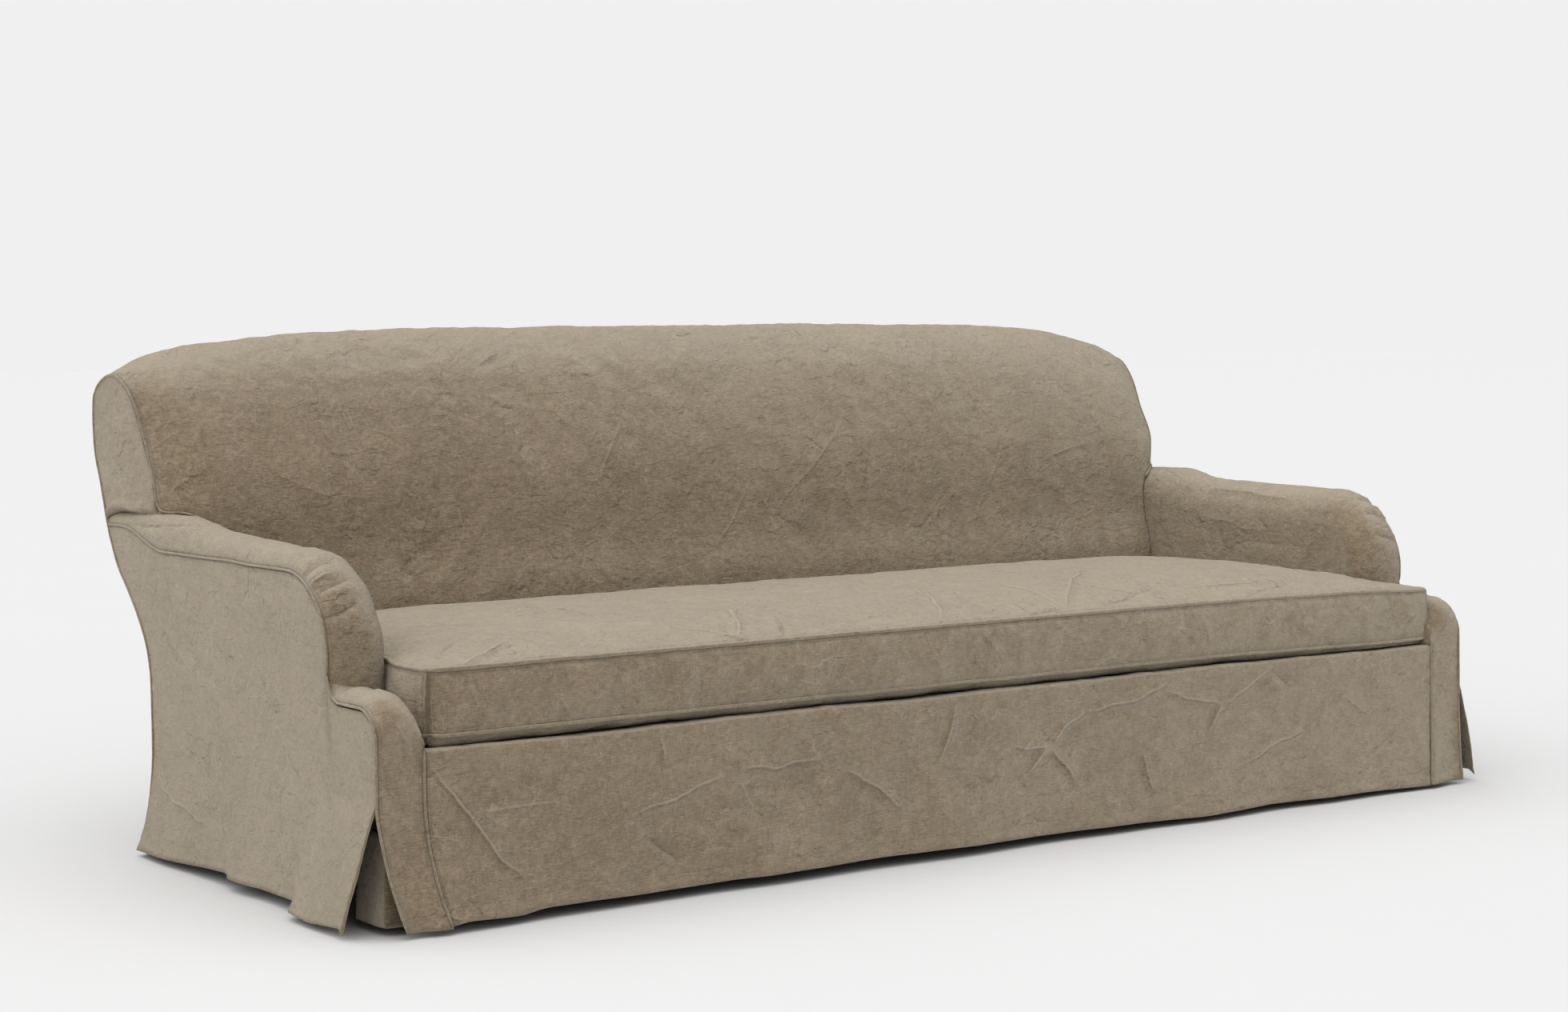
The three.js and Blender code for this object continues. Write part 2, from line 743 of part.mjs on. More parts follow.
// A square leg that tapers to its foot
function leg(x, y) {
  const bottom = glideHeight + fitGap;
  const top = legHeight - fitGap;
  const square = (half, z) => [[-half, -half], [half, -half], [half, half], [-half, half]]
    .map(([a, b]) => new THREE.Vector3(x + a, y + b, z));
  const points = [...square(legFootWidth / 2, bottom), ...square(legTopWidth / 2, top)];
  const triangles = [[0, 2, 1], [0, 3, 2], [4, 5, 6], [4, 6, 7]];
  for (let k = 0; k < 4; k += 1) {
    const next = (k + 1) % 4;
    triangles.push([k, next, next + 4], [k, next + 4, k + 4]);
  }
  return closedMesh(points, triangles);
}

function glide(x, y) {
  const disc = new THREE.CylinderGeometry(glideRadius, glideRadius, glideHeight, glideSides);
  return disc.rotateX(Math.PI / 2).translate(x, y, glideHeight / 2);
}

// A triangular block glued into a corner of the base frame
function cornerBlock(side, front, grow) {
  const corner = frameInside - carveGap + grow;
  const turn = front ? 1 : -1;
  const y = front ? frontRailRear + fitGap - grow : rearRailFront - fitGap + grow;
  const leg = cornerBlockLeg + grow * (2 + Math.SQRT2);
  const bottom = legHeight + (railHeight - cornerBlockHeight) / 2 - grow;
  const outline = new THREE.Shape([
    new THREE.Vector2(side * corner, y),
    new THREE.Vector2(side * (corner - leg), y),
    new THREE.Vector2(side * corner, y + turn * leg),
  ]);
  const depth = cornerBlockHeight + grow * 2;
  return new THREE.ExtrudeGeometry(outline, { depth, bevelEnabled: false }).translate(0, 0, bottom);
}

// A piece of the frame cut off flush where the outside back cloth passes
function flushBehind(shape) {
  const solid = shape.isBufferGeometry ? toSolid(shape) : shape;
  return solid.subtract(rearLayer(padInset, overrun, overrun));
}

// The base frame, the arms' frames and the back's frame
function addFrame() {
  const railHeights = [legHeight, railTop];
  addPiece('front_rail', crossBeam([frontRailFront, frontRailRear], railHeights, 0), beech);
  addPiece('rear_rail', crossBeam([rearRailFront, rearRailRear], railHeights, 0), beech);
  for (const [name, side] of [['left', -1], ['right', 1]]) {
    const braceX = side * braceShare * halfWidth;
    const half = railThickness / 2;
    addPiece(`${name}_side_rail`, sideRail(side, 0), beech);
    addPiece(`${name}_seat_brace`, block([braceX - half, braceX + half],
      [frontRailRear + fitGap, rearRailFront - fitGap], [legHeight, legHeight + braceHeight]), beech);
    addPiece(`${name}_arm_stump`, armStump(side, 0), beech);
    addPiece(`${name}_arm_top_rail`, flushBehind(armTopRail(side, 0)), beech);
    addPiece(`${name}_back_post`, flushBehind(backPost(side, 0)), beech);
    addPiece(`${name}_back_stile`, flushBehind(backStile(side, 0)), beech);
    addPiece(`${name}_front_corner_block`, cornerBlock(side, true, 0), beech);
    addPiece(`${name}_rear_corner_block`, cornerBlock(side, false, 0), beech);
  }
  addPiece('crest_rail', flushBehind(crestRail(0)), beech);
  addPiece('lower_back_rail', flushBehind(lowerBackRail(0)), beech);
  for (const [name, x, y] of legPlaces) {
    addPiece(`${name}_leg`, leg(x, y), beech);
    addPiece(`${name}_glide`, glide(x, y), nylon);
  }
}

// Webbing, deck and the cloth under the frame
function addDeck() {
  const reach = armInside - cushionClearance;
  const depth = [frontRailFront, backFoot - fitGap];
  addPiece('seat_webbing', webbing(0), jute);
  addPiece('deck_pad', block([-reach, reach], depth, [webbingTop + fitGap, deckPadTop]), wadding);
  addPiece('deck_cloth', block([-reach, reach], [clothSeat, backFoot - fitGap],
    [deckPadTop + fitGap, deckTop]), linen);
  const pad = ledgeInside - fitGap;
  addPiece('front_edge_pad', block([-pad, pad], [clothSeat, frontRailFront - fitGap],
    [legHeight, deckPadTop]), foam);
  const under = [legHeight - fitGap - dustClothThickness, legHeight - fitGap];
  const sheet = toSolid(block([-frameOutside, frameOutside], [frontRailFront, rearRailRear], under));
  const cut = legPlaces.reduce((cloth, [, x, y]) => {
    const half = legTopWidth / 2 + fitGap;
    return cloth.subtract(toSolid(block([x - half, x + half], [y - half, y + half],
      grown(under, overrun))));
  }, sheet);
  addPiece('dust_cover', cut, cambric);
}

// Padding of the arms and the back, with room cut for the frame inside it
function addPadding() {
  const room = carveGap;
  const behind = rearLayer(padInset, overrun, overrun);
  const carve = (body, pieces) => pieces.reduce((pad, piece) => (
    pad.subtract(piece.isBufferGeometry ? toSolid(piece) : piece)), body.subtract(behind));
  const rails = [
    crossBeam([frontRailFront, frontRailRear], [legHeight, railTop], room),
    crossBeam([rearRailFront, rearRailRear], [legHeight, railTop], room),
    lowerBackRail(room),
    webbing(room),
  ];
  for (const [name, side] of [['left', -1], ['right', 1]]) {
    const frame = [...rails, sideRail(side, room), armStump(side, room), backPost(side, room),
      armTopRail(side, room), cornerBlock(side, true, room), cornerBlock(side, false, room)];
    const size = { inset: padInset, outer: halfWidth - clothSeat, bottom: bodyBottom };
    const armPad = armBody(side, { ...size, rearInset: clothSeat, inner: armInside + padInset });
    const ledgePad = ledgeBody(side, {
      ...size,
      inset: padInset + ledgePadSlack,
      inner: ledgeInside + padInset + ledgePadSlack,
      armClearance: fitGap,
    });
    addPiece(`${name}_arm_pad`, carve(armPad, frame), foam);
    addPiece(`${name}_ledge_pad`, carve(ledgePad, frame), foam);
  }
  const frame = [crestRail(room), lowerBackRail(room)];
  for (const side of [-1, 1]) frame.push(backStile(side, room), backPost(side, room));
  const body = backBody(padInset, clothSeat, webbingTop + fitGap);
  const back = betweenGussets(clearOfArms(body, fitGap), padInset);
  addPiece('back_pad', carve(back, frame), foam);
}

// Cloth over the inside, top and front of an arm
function armCover(side) {
  const outside = armBody(side, {
    inset: 0,
    rearInset: clothSeat,
    outer: halfWidth - clothSeat,
    inner: armInside,
    bottom: deckTop,
  });
  const inside = armBody(side, {
    inset: clothThickness,
    rearInset: -overrun,
    outer: halfWidth + overrun,
    inner: armInside + clothThickness,
    bottom: deckTop - overrun,
  });
  const tuck = sideBlock(side, [armInside - overrun, frameInside],
    [backFoot + overrun, baseDepth + backRake], [0, armHeight - overrun]);
  const post = toSolid(backPost(side, carveGap));
  const cloth = outside.subtract(inside).subtract(toSolid(tuck)).subtract(post);
  return cloth.subtract(rearLayer(padInset, overrun, overrun));
}

// Cloth over the ledge, which then hangs down the front to its hem
function ledgeStrip(side) {
  const outside = ledgeBody(side, {
    inset: 0,
    outer: halfWidth - clothSeat,
    inner: ledgeInside,
    bottom: bodyBottom,
    armClearance: fitGap,
  });
  const inside = ledgeBody(side, {
    inset: clothThickness,
    outer: halfWidth + overrun,
    inner: ledgeInside + clothThickness,
    bottom: bodyBottom - overrun,
    armClearance: 0,
  });
  const innerWall = sideBlock(side, [armInside, ledgeInside + clothSeat],
    [clothThickness, armSetback], [0, deckTop]);
  const top = outside.subtract(inside).subtract(toSolid(innerWall));
  const flap = clothSheet(3, 6, (u, v, inner) => {
    const z = THREE.MathUtils.lerp(hemHeight, bodyBottom + overrun, v);
    const fall = hemFall(z);
    const opening = Math.max(slitHeight - z, 0) / slitHeight;
    const outer = halfWidth - clothSeat - opening * stripSlitSpread;
    const x = THREE.MathUtils.lerp(seamPlace(z), outer, u);
    const y = (inner ? clothThickness : 0) - frontFlare * fall;
    return new THREE.Vector3(side * x, y, z);
  });
  return top.add(toSolid(flap));
}

// How far a hanging cloth has swung out at a height, as a share of its flare
function hemFall(z) {
  const fall = Math.max(flareHeight - z, 0) / (flareHeight - hemHeight);
  return fall * fall;
}

// Where the seam between the front skirt and a ledge strip runs
function seamPlace(z) {
  return ledgeInside - seamSlant * hemFall(z);
}

// The front skirt hangs from the edge of the deck
function frontSkirt() {
  return clothSheet(26, 6, (u, v, inner) => {
    const lift = frontHemLift * Math.sin(Math.PI * u);
    const z = THREE.MathUtils.lerp(hemHeight + lift, deckTop, v);
    const x = (2 * u - 1) * (seamPlace(z) - fitGap);
    const y = (inner ? clothThickness : 0) - frontFlare * smoothRow(frontWaveShares, u) * hemFall(z);
    return new THREE.Vector3(x, y, z);
  });
}

// The outside of an arm: flat down to the flare, then swinging out to the hem
function outsidePanel(side) {
  const ledge = pushedOut(ledgeOutline(), () => 0);
  const arm = pushedOut(armOutline(), () => 0);
  const rear = armRearOutline(0);
  const foot = [[baseDepth, flareHeight - fitGap], [0, flareHeight - fitGap]];
  const outline = [...ledge.slice(1), ...arm.slice(3), ...rear.slice(1, -1), ...foot];
  const inside = halfWidth - clothThickness;
  const upper = plate(outline, side * inside, side * halfWidth);
  const lower = clothSheet(18, 5, (u, v, inner) => {
    const lift = hemLift * Math.sin(Math.PI * u);
    const z = THREE.MathUtils.lerp(hemHeight + lift, flareHeight, v);
    const fall = hemFall(z);
    const y = THREE.MathUtils.lerp(slitSpread * fall, baseDepth + rearFlare * fall, 1 - u);
    const out = sideFlare * smoothRow(sideWaveShares, u) * fall;
    return new THREE.Vector3(side * ((inner ? inside : halfWidth) + out), y, z);
  });
  return toSolid(upper).add(toSolid(lower));
}

// The gusset that closes each end of the back above its arm
function backGusset(side) {
  const ends = clearOfArms(backBody(0, clothSeat, deckTop), fitGap);
  const wing = ends.subtract(rearLayer(padInset, overrun, overrun));
  const end = wing.intersect(outsideWing(side, clothThickness));
  return end.subtract(outsideWing(side, 0));
}

// Trims a body of the back to the planes of both gussets
function betweenGussets(solid, inset) {
  return solid.subtract(outsideWing(-1, inset)).subtract(outsideWing(1, inset));
}

// Cloth over the front and the top of the back
function insideBackCover() {
  const outside = clearOfArms(backBody(0, clothSeat, deckTop + fitGap), fitGap);
  const inside = backBody(clothThickness, -overrun, deckTop - overrun);
  const wings = [-1, 1].map((side) => toSolid(sideBlock(side, [armInside - clothSeat, halfWidth],
    [backFoot + overrun, baseDepth + backRake], [0, wingBottom + clothThickness])));
  const shell = betweenGussets(outside, clothSeat).subtract(inside)
    .subtract(rearLayer(padInset, overrun, overrun));
  return wings.reduce((cloth, wing) => cloth.subtract(wing), shell);
}

// A short length of cloth round each front corner that shows in the open slit
function kickPleat(side) {
  const outer = halfWidth - clothSeat - pleatSideInset;
  const front = clothSeat + pleatFrontInset;
  const z = [hemHeight + clothThickness, bodyBottom - fitGap];
  const along = sideBlock(side, [outer - clothThickness, outer], [front, front + pleatLength], z);
  const across = sideBlock(side, [outer - pleatLength, outer], [front, front + clothThickness], z);
  return toSolid(along).add(toSolid(across));
}

// The cloth panels of the slipcover
function addCover() {
  for (const [name, side] of [['left', -1], ['right', 1]]) {
    addPiece(`${name}_arm_cover`, armCover(side), linen);
    addPiece(`${name}_ledge_strip`, ledgeStrip(side), linen);
    addPiece(`${name}_outside_panel`, outsidePanel(side), linen);
    addPiece(`${name}_back_gusset`, backGusset(side), linen);
    addPiece(`${name}_kick_pleat`, kickPleat(side), linen);
  }
  addPiece('inside_back_cover', insideBackCover(), linen);
  addPiece('outside_back_panel', rearLayer(clothThickness, 0, 0), linen);
  addPiece('front_skirt', frontSkirt(), linen);
}

// The body of the bench cushion, crowned on top and a little puffed at the sides
function cushionBody(inset) {
  const reach = armInside - cushionClearance - inset;
  const front = clothSeat + inset;
  const rear = backFoot - cushionClearance - inset;
  const bottom = deckTop + fitGap + inset;
  const edge = deckTop + fitGap + cushionEdge - inset;
  const middle = (front + rear) / 2;
  const half = (rear - front) / 2;
  const steps = 10;
  const ringAt = (share) => {
    const x = reach * share;
    const along = 1 - share ** crownEndPower;
    const bend = Math.sqrt(Math.max(1 - share ** cornerPower, 0));
    const corner = cushionCornerRadius * (1 - bend);
    const point = (across, z) => new THREE.Vector3(x, middle + (half - corner) * across, z);
    const ring = [point(-1, bottom + cushionPuff), point(-1, edge)];
    ring[0].y += cushionPuff / 2;
    for (let k = 1; k < steps; k += 1) {
      const across = 2 * (k / steps) - 1;
      const rise = cushionCrown * along * (1 - across ** crownSidePower);
      ring.push(point(across, edge + rise));
    }
    ring.push(point(1, edge), point(1, bottom + cushionPuff));
    ring.push(point(1 - cushionPuff / half, bottom), point(cushionPuff / half - 1, bottom));
    return ring;
  };
  const shares = cushionStationShares;
  const stations = [...shares.slice(1).reverse().map((share) => -share), ...shares];
  return toSolid(loft(stations.map(ringAt)));
}

// The loose bench cushion: foam core, cover with a zip slot at the rear, and the zip in it
function addCushion() {
  const rear = backFoot - cushionClearance;
  const height = deckTop + fitGap + cushionEdge / 2;
  const slot = (grow, depth) => block(grown([-zipLength / 2, zipLength / 2], grow), depth,
    grown([height - zipWidth / 2, height + zipWidth / 2], grow));
  const opening = slot(0, [rear - overrun / 2, rear + overrun]);
  const cover = cushionBody(0).subtract(cushionBody(clothThickness)).subtract(toSolid(opening));
  addPiece('seat_cushion_core', cushionBody(clothSeat), foam);
  addPiece('seat_cushion_cover', cover, linen);
  addPiece('seat_cushion_zip', slot(-fitGap, [rear - clothThickness, rear]), brass);
}

addFrame();
addDeck();
addPadding();
addCover();
addCushion();

export default sofa;
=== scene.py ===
# The dressed model of a camelback sofa in a washed linen slipcover.
#
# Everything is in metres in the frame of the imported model. The cloth is worked out with Y
# measured from the front of the base, and settle() moves it into the frame at the end.

import math

import bpy
import numpy as np
from mathutils import Matrix, Vector, kdtree, noise


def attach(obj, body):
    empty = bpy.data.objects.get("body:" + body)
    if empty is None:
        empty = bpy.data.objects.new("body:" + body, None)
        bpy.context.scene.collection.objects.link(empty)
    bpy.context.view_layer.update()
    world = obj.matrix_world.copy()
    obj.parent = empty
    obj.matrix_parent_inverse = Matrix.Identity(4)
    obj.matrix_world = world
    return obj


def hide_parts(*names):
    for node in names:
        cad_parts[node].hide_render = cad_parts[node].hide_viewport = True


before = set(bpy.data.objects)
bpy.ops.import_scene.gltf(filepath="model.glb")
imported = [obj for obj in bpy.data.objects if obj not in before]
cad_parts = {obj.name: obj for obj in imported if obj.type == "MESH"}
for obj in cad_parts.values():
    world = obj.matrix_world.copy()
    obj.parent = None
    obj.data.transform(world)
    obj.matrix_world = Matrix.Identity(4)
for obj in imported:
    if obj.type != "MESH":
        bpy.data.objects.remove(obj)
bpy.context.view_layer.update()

# The wander of the cloth is the same in every run
noise.seed_set(3)

# Sizes that the cloth shares with the model, in metres
BASE_SHIFT = 0.512
HALF_WIDTH = 1.192
BACK_HEIGHT = 0.917
BASE_DEPTH = 0.820
BACK_RAKE = 0.230
BACK_FOOT = 0.761
BACK_LEAN = BASE_DEPTH + BACK_RAKE - BACK_FOOT

# Arms
ARM_INSIDE = 1.080
ARM_HEIGHT = 0.538
ARM_SETBACK = 0.155
ARM_CROWN = 0.041
ARM_ROLL = 0.078
ROLL_FADE = 0.076
ARM_RISE = 0.035
ARM_RISE_LENGTH = 0.175
NOSE_DEPTH = 0.128
NOSE_HEIGHT = 0.124
NOSE_CROWN = 0.005
NOSE_ROLL = 0.034

# Ends of the back, above the arms
WING_SEAT_RISE = 0.019
WING_SEAT_LENGTH = 0.165
WING_SEAT = ARM_HEIGHT + ARM_CROWN + WING_SEAT_RISE
WING_TAPER = 0.031
WING_TAPER_DEPTH = 0.185

# Ledges in front of the arms
LEDGE_HEIGHT = 0.345
LEDGE_RADIUS = 0.048
LEDGE_FILLET = 0.038
LEDGE_CROWN = 0.024
LEDGE_ROLL = 0.056
LEDGE_INSIDE = 1.110
LEDGE_SEAM = LEDGE_HEIGHT + LEDGE_FILLET

# Deck, hems and slits
DECK_TOP = 0.2733
DECK_SINK = 0.0008
DECK_LAP = 0.024
HEM_HEIGHT = 0.010
HEM_LIFT = 0.010
FLARE_HEIGHT = 0.200
FRONT_FLARE = 0.026
SIDE_FLARE = 0.03784
REAR_FLARE = 0.068
REAR_CLEARANCE = 0.007
SLIT_HEIGHT = 0.194
SEAM_SLANT = 0.028

# How the worn cover has settled
ARM_DIP = 0.009
CORNER_SINK = 0.011
RIGHT_FULLNESS = 0.013

# Cushion
CUSHION_REACH = 1.076
CUSHION_REAR = 0.757
CUSHION_BOTTOM = 0.2736
CUSHION_EDGE = 0.4006
CUSHION_CROWN = 0.031

# Thickness of the cover with its turnings, and the same with the gap under it
CLOTH = 0.0024
CLOTH_SEAT = 0.0027

# Shapes of the back: lean or rake as a share, then height as a share
BACK_FRONT = [
    (0, 0.3), (0, 0.459), (0.08, 0.555), (0.122, 0.656), (0.153, 0.71), (0.208, 0.765),
    (0.312, 0.842), (0.427, 0.904), (0.566, 0.953), (0.705, 0.985), (0.826, 0.998),
    (0.93, 0.987), (0.983, 0.964),
]
BACK_REAR = [
    (0.979, 0.964), (1, 0.918), (1, 0.863), (0.983, 0.791), (0.896, 0.721), (0.796, 0.637),
    (0.713, 0.59), (0.6, 0.546), (0.4, 0.498), (0.217, 0.45), (0.078, 0.399), (0.013, 0.348),
    (0, 0.287),
]
CAMEL = [
    (0, 1), (0.35, 0.9995), (0.6, 0.996), (0.72, 0.989), (0.8, 0.981), (0.86, 0.97),
    (0.92, 0.954), (0.956, 0.941), (0.98, 0.927), (1, 0.908),
]

# How the back rounds towards its ends, and how the padding of an arm rises and rolls, as shares
CAMEL_FOOT = 0.656 * BACK_HEIGHT
ROUND_START = 0.9
ROUND_SHARE = 0.52
ROUND_FADE = (0.25, 0.95)
ROUND_FOOT = 0.8 * WING_SEAT
ARM_PEAK = 0.36
ARM_ROLL_START = 0.42

# Folds and hems: place along the side or the front, then strength or height
SIDE_FOLDS = [
    (0, 1.1), (0.06, 1.1), (0.16, 1.12), (0.228, 1.08), (0.256, 0.25), (0.38, 0.22), (0.45, 0.5),
    (0.495, 0.52), (0.520, 0.12), (0.60, 0.12), (0.72, 0.28), (0.80, 0.30), (0.9, 0.12),
]
SIDE_HEM = [
    (0, 0.020), (0.05, 0.018), (0.146, 0.010), (0.248, 0.013), (0.273, 0.019), (0.39, 0.020),
    (0.50, 0.020), (0.53, 0.024), (0.638, 0.019), (0.747, 0.013), (0.9, 0.010),
]
FRONT_HEM = [
    (-1.11, 0.012), (-1.08, 0.017), (-0.98, 0.012), (-0.93, 0.018), (-0.775, 0.016), (-0.56, 0.018),
    (-0.42, 0.018), (-0.2, 0.019), (0.33, 0.015), (0.5, 0.012), (0.67, 0.014), (0.88, 0.011),
    (1.11, 0.009),
]
# Strength of the waves at evenly spaced places along the front
FRONT_WAVES = [1.0, 0.7, 0.5, 0.75, 0.5, 0.7, 0.45, 0.6, 0.85, 0.6, 0.85, 1.0]

# Spacings of the grids, and the distances that stand for far away
SPACING = 0.008
CLOSE_SPACING = 0.006
FAR = 1.0
FAR_GAP = 0.06

# Sewing
HEM_WIDTH = 0.024
WELT_RADIUS = 0.0023


def smooth(value, low, high):
    share = np.clip((value - low) / (high - low), 0, 1)
    return share * share * (3 - 2 * share)


def mix(a, b, share):
    return a + (b - a) * share


def bell(value, middle, width):
    return np.exp(-((value - middle) / width) ** 2)


def spline(points, share):
    """Points of a uniform Catmull-Rom curve at shares of its run."""
    points = np.array(points, float)
    last = len(points) - 1
    place = np.clip(np.asarray(share, float), 0, 1) * last
    k = np.minimum(place.astype(int), last - 1)
    t = (place - k)[..., None]
    before, start = points[np.maximum(k - 1, 0)], points[k]
    end, after = points[np.minimum(k + 1, last)], points[np.minimum(k + 2, last)]
    leave, arrive = (end - before) / 2, (after - start) / 2
    cubic = (2 * start - 2 * end + leave + arrive) * t ** 3
    return cubic + (3 * end - 3 * start - 2 * leave - arrive) * t ** 2 + leave * t + start


def traced(points, place):
    """A smooth line through the given points, read at a place along it."""
    points = np.array(points, float)
    wide = np.interp(np.asarray(place)[..., None] + np.linspace(-0.012, 0.012, 9), *points.T)
    return wide.mean(axis=-1)


def wave_row(values, share):
    """Value at a share along evenly spaced values, smoothly joined."""
    place = np.clip(share, 0, 1) * (len(values) - 1)
    k = np.minimum(np.floor(place).astype(int), len(values) - 2)
    row = np.array(values, float)
    return mix(row[k], row[k + 1], smooth(place - k, 0, 1))


def steps_for(length, spacing=SPACING):
    return max(int(round(length / spacing)), 2)


def runs_of(points):
    """Distance along a polyline to each of its points."""
    return np.concatenate([[0], np.cumsum(np.linalg.norm(np.diff(points, axis=0), axis=1))])


def quarter(count):
    """Angles of a quarter turn without its start."""
    return np.linspace(0, math.pi / 2, count)[1:]


def even(points, count):
    """The points of a polyline respaced evenly."""
    points = np.array(points, float)
    along = runs_of(points)
    wanted = np.linspace(0, along[-1], count + 1)
    return np.stack([np.interp(wanted, along, points[:, k]) for k in range(points.shape[1])], axis=1)


def length_of(points):
    return float(np.linalg.norm(np.diff(np.array(points, float), axis=0), axis=1).sum())


def rounded(points, width=3, times=6):
    """A polyline with its corners worn round."""
    points = np.array(points, float)
    for _ in range(times):
        points[1:-1] = (points[:-2] * width + points[1:-1] * 2 + points[2:] * width) / (2 * width + 2)
    return points


def tree_of(points):
    tree = kdtree.KDTree(len(points))
    for k, point in enumerate(points):
        tree.insert(point, k)
    tree.balance()
    return tree


FRONT_CURVE = spline([(BACK_FOOT + a * BACK_LEAN, b * BACK_HEIGHT) for a, b in BACK_FRONT],
                     np.linspace(0, 1, 400))
REAR_CURVE = spline([(BASE_DEPTH + a * BACK_RAKE, b * BACK_HEIGHT) for a, b in BACK_REAR],
                    np.linspace(0, 1, 400))


def camel_height(x):
    shares, heights = np.array(CAMEL).T
    return BACK_HEIGHT * np.interp(np.minimum(np.abs(x) / HALF_WIDTH, 1), shares, heights)


def camel_lowered(x, z):
    spread = [camel_height(x + step) for step in (-0.03, -0.015, 0, 0.015, 0.03)]
    squeeze = (np.mean(spread, axis=0) - CAMEL_FOOT) / (BACK_HEIGHT - CAMEL_FOOT)
    return np.where(z > CAMEL_FOOT, CAMEL_FOOT + (z - CAMEL_FOOT) * squeeze, z)


def rear_depth(z):
    return np.interp(z, REAR_CURVE[::-1, 1], REAR_CURVE[::-1, 0], left=BASE_DEPTH)


def front_point(x, share):
    """Y and Z of the inside of the back at a place along the sofa and a share up its curve."""
    place = np.clip(share, 0, 1) * (len(FRONT_CURVE) - 1)
    steps = np.arange(len(FRONT_CURVE))
    y = np.interp(place, steps, FRONT_CURVE[:, 0])
    z = camel_lowered(x, np.interp(place, steps, FRONT_CURVE[:, 1]))
    over = np.clip(np.abs(x) / HALF_WIDTH - ROUND_START, 0, 1) / (1 - ROUND_START)
    pull = ROUND_SHARE * over ** 2 * (1 - smooth(share, *ROUND_FADE)) * smooth(z, ROUND_FOOT, WING_SEAT)
    return y + pull * np.maximum(rear_depth(z) - y, 0), z


def wing_end(share):
    """Where the inside of the back meets the plane of its gusset, at a share up its curve."""
    x = np.full_like(np.asarray(share, float), HALF_WIDTH)
    for _ in range(6):
        y, _z = front_point(x, share)
        x = HALF_WIDTH - WING_TAPER * (BASE_DEPTH + BACK_RAKE - y) / WING_TAPER_DEPTH
    return x


def arm_station(y):
    """Height of the welt along an arm, and the crown and inner roll of its padding there."""
    z = ARM_HEIGHT + ARM_RISE * smooth(y, BACK_FOOT, BACK_FOOT + ARM_RISE_LENGTH)
    crown = (ARM_HEIGHT + ARM_CROWN - z - ARM_DIP * (1 - smooth(y, 0.30, 0.66))
             + WING_SEAT_RISE * smooth(y, BACK_FOOT - WING_SEAT_LENGTH, BACK_FOOT))
    return z, crown, mix(ARM_ROLL, crown, smooth(y, BACK_FOOT, BACK_FOOT + ROLL_FADE))


def padding(share, crown, roll):
    """How far the padding stands out, from the outer welt across to the inner side."""
    out = 1 - np.minimum(share / ARM_PEAK, 1)
    over = np.maximum((share - ARM_ROLL_START) / (1 - ARM_ROLL_START), 0)
    return crown * np.sqrt(1 - out ** 2) - roll * (1 - np.sqrt(np.maximum(1 - over ** 2, 0)))


def arm_top(x, y):
    z, crown, roll = arm_station(np.asarray(y, float))
    share = np.clip((HALF_WIDTH - np.abs(x)) / (HALF_WIDTH - ARM_INSIDE), 0, 1)
    return z + padding(share, crown, roll)


def share_at_height(z):
    return np.interp(z, FRONT_CURVE[:300, 1], np.linspace(0, 1, 400)[:300])


# Meshes

def settle(points):
    moved = np.array(points, float).reshape(-1, 3)
    moved[:, 1] -= BASE_SHIFT
    return moved


def key_of(point):
    """Names the place of a point to within a fiftieth of a millimetre."""
    return tuple(int(round(value / 2e-5)) for value in point)


def flat_of(points):
    """Cloth coordinates of a grid from its middle row and middle column, in metres."""
    rows, columns = points.shape[:2]
    return np.stack(np.meshgrid(runs_of(points[rows // 2]), runs_of(points[:, columns // 2])), axis=-1)


def new_mesh(name, points, faces, corners):
    """A smooth mesh with cloth coordinates at the corners of its faces."""
    mesh = bpy.data.meshes.new(name)
    mesh.from_pydata(np.array(points).tolist(), [], faces)
    layer = mesh.uv_layers.new(name="cloth")
    layer.data.foreach_set("uv", np.array(corners, float).ravel())
    mesh.polygons.foreach_set("use_smooth", [True] * len(mesh.polygons))
    mesh.update()
    return mesh


def placed(name, data):
    """A new object of the scene."""
    made = bpy.data.objects.new(name, data)
    bpy.context.scene.collection.objects.link(made)
    return made


def add_values(mesh, **layers):
    """Values at the vertices, which the linen reads."""
    for label, values in layers.items():
        mesh.attributes.new(label, "FLOAT", "POINT").data.foreach_set("value", values)
    mesh.update()


class Cloth:
    """Grids of points that are sewn where they meet, with cloth coordinates in metres."""

    def __init__(self):
        self.points, self.faces, self.corners, self.hems = [], [], [], []
        self.known = {}

    def vertex(self, point, hem):
        key = key_of(point)
        if key not in self.known:
            self.known[key] = len(self.points)
            self.points.append(point)
            self.hems.append(hem)
        return self.known[key]

    def grid(self, points, shift=(0, 0), flip=False, hemmed=False):
        """Adds a grid; its cloth coordinates are shifted clear of those of the other grids."""
        rows, columns = points.shape[:2]
        flat = flat_of(points) + np.array(shift)
        rise = flat[..., 1] if hemmed else np.full((rows, columns), FAR)
        index = [[self.vertex(points[r, c], rise[r, c]) for c in range(columns)] for r in range(rows)]
        for r in range(rows - 1):
            for c in range(columns - 1):
                quad = [(r, c), (r, c + 1), (r + 1, c + 1), (r + 1, c)]
                if flip:
                    quad.reverse()
                face = [index[a][b] for a, b in quad]
                ends = [k for k in range(4) if face[k] != face[k - 1]]
                if len(ends) < 3:
                    continue
                self.faces.append([face[k] for k in ends])
                self.corners.extend(flat[quad[k]] for k in ends)

    def mesh(self, name):
        return new_mesh(name, settle(self.points), self.faces, self.corners)


def one_grid(points, **how):
    cloth = Cloth()
    cloth.grid(points, **how)
    return cloth


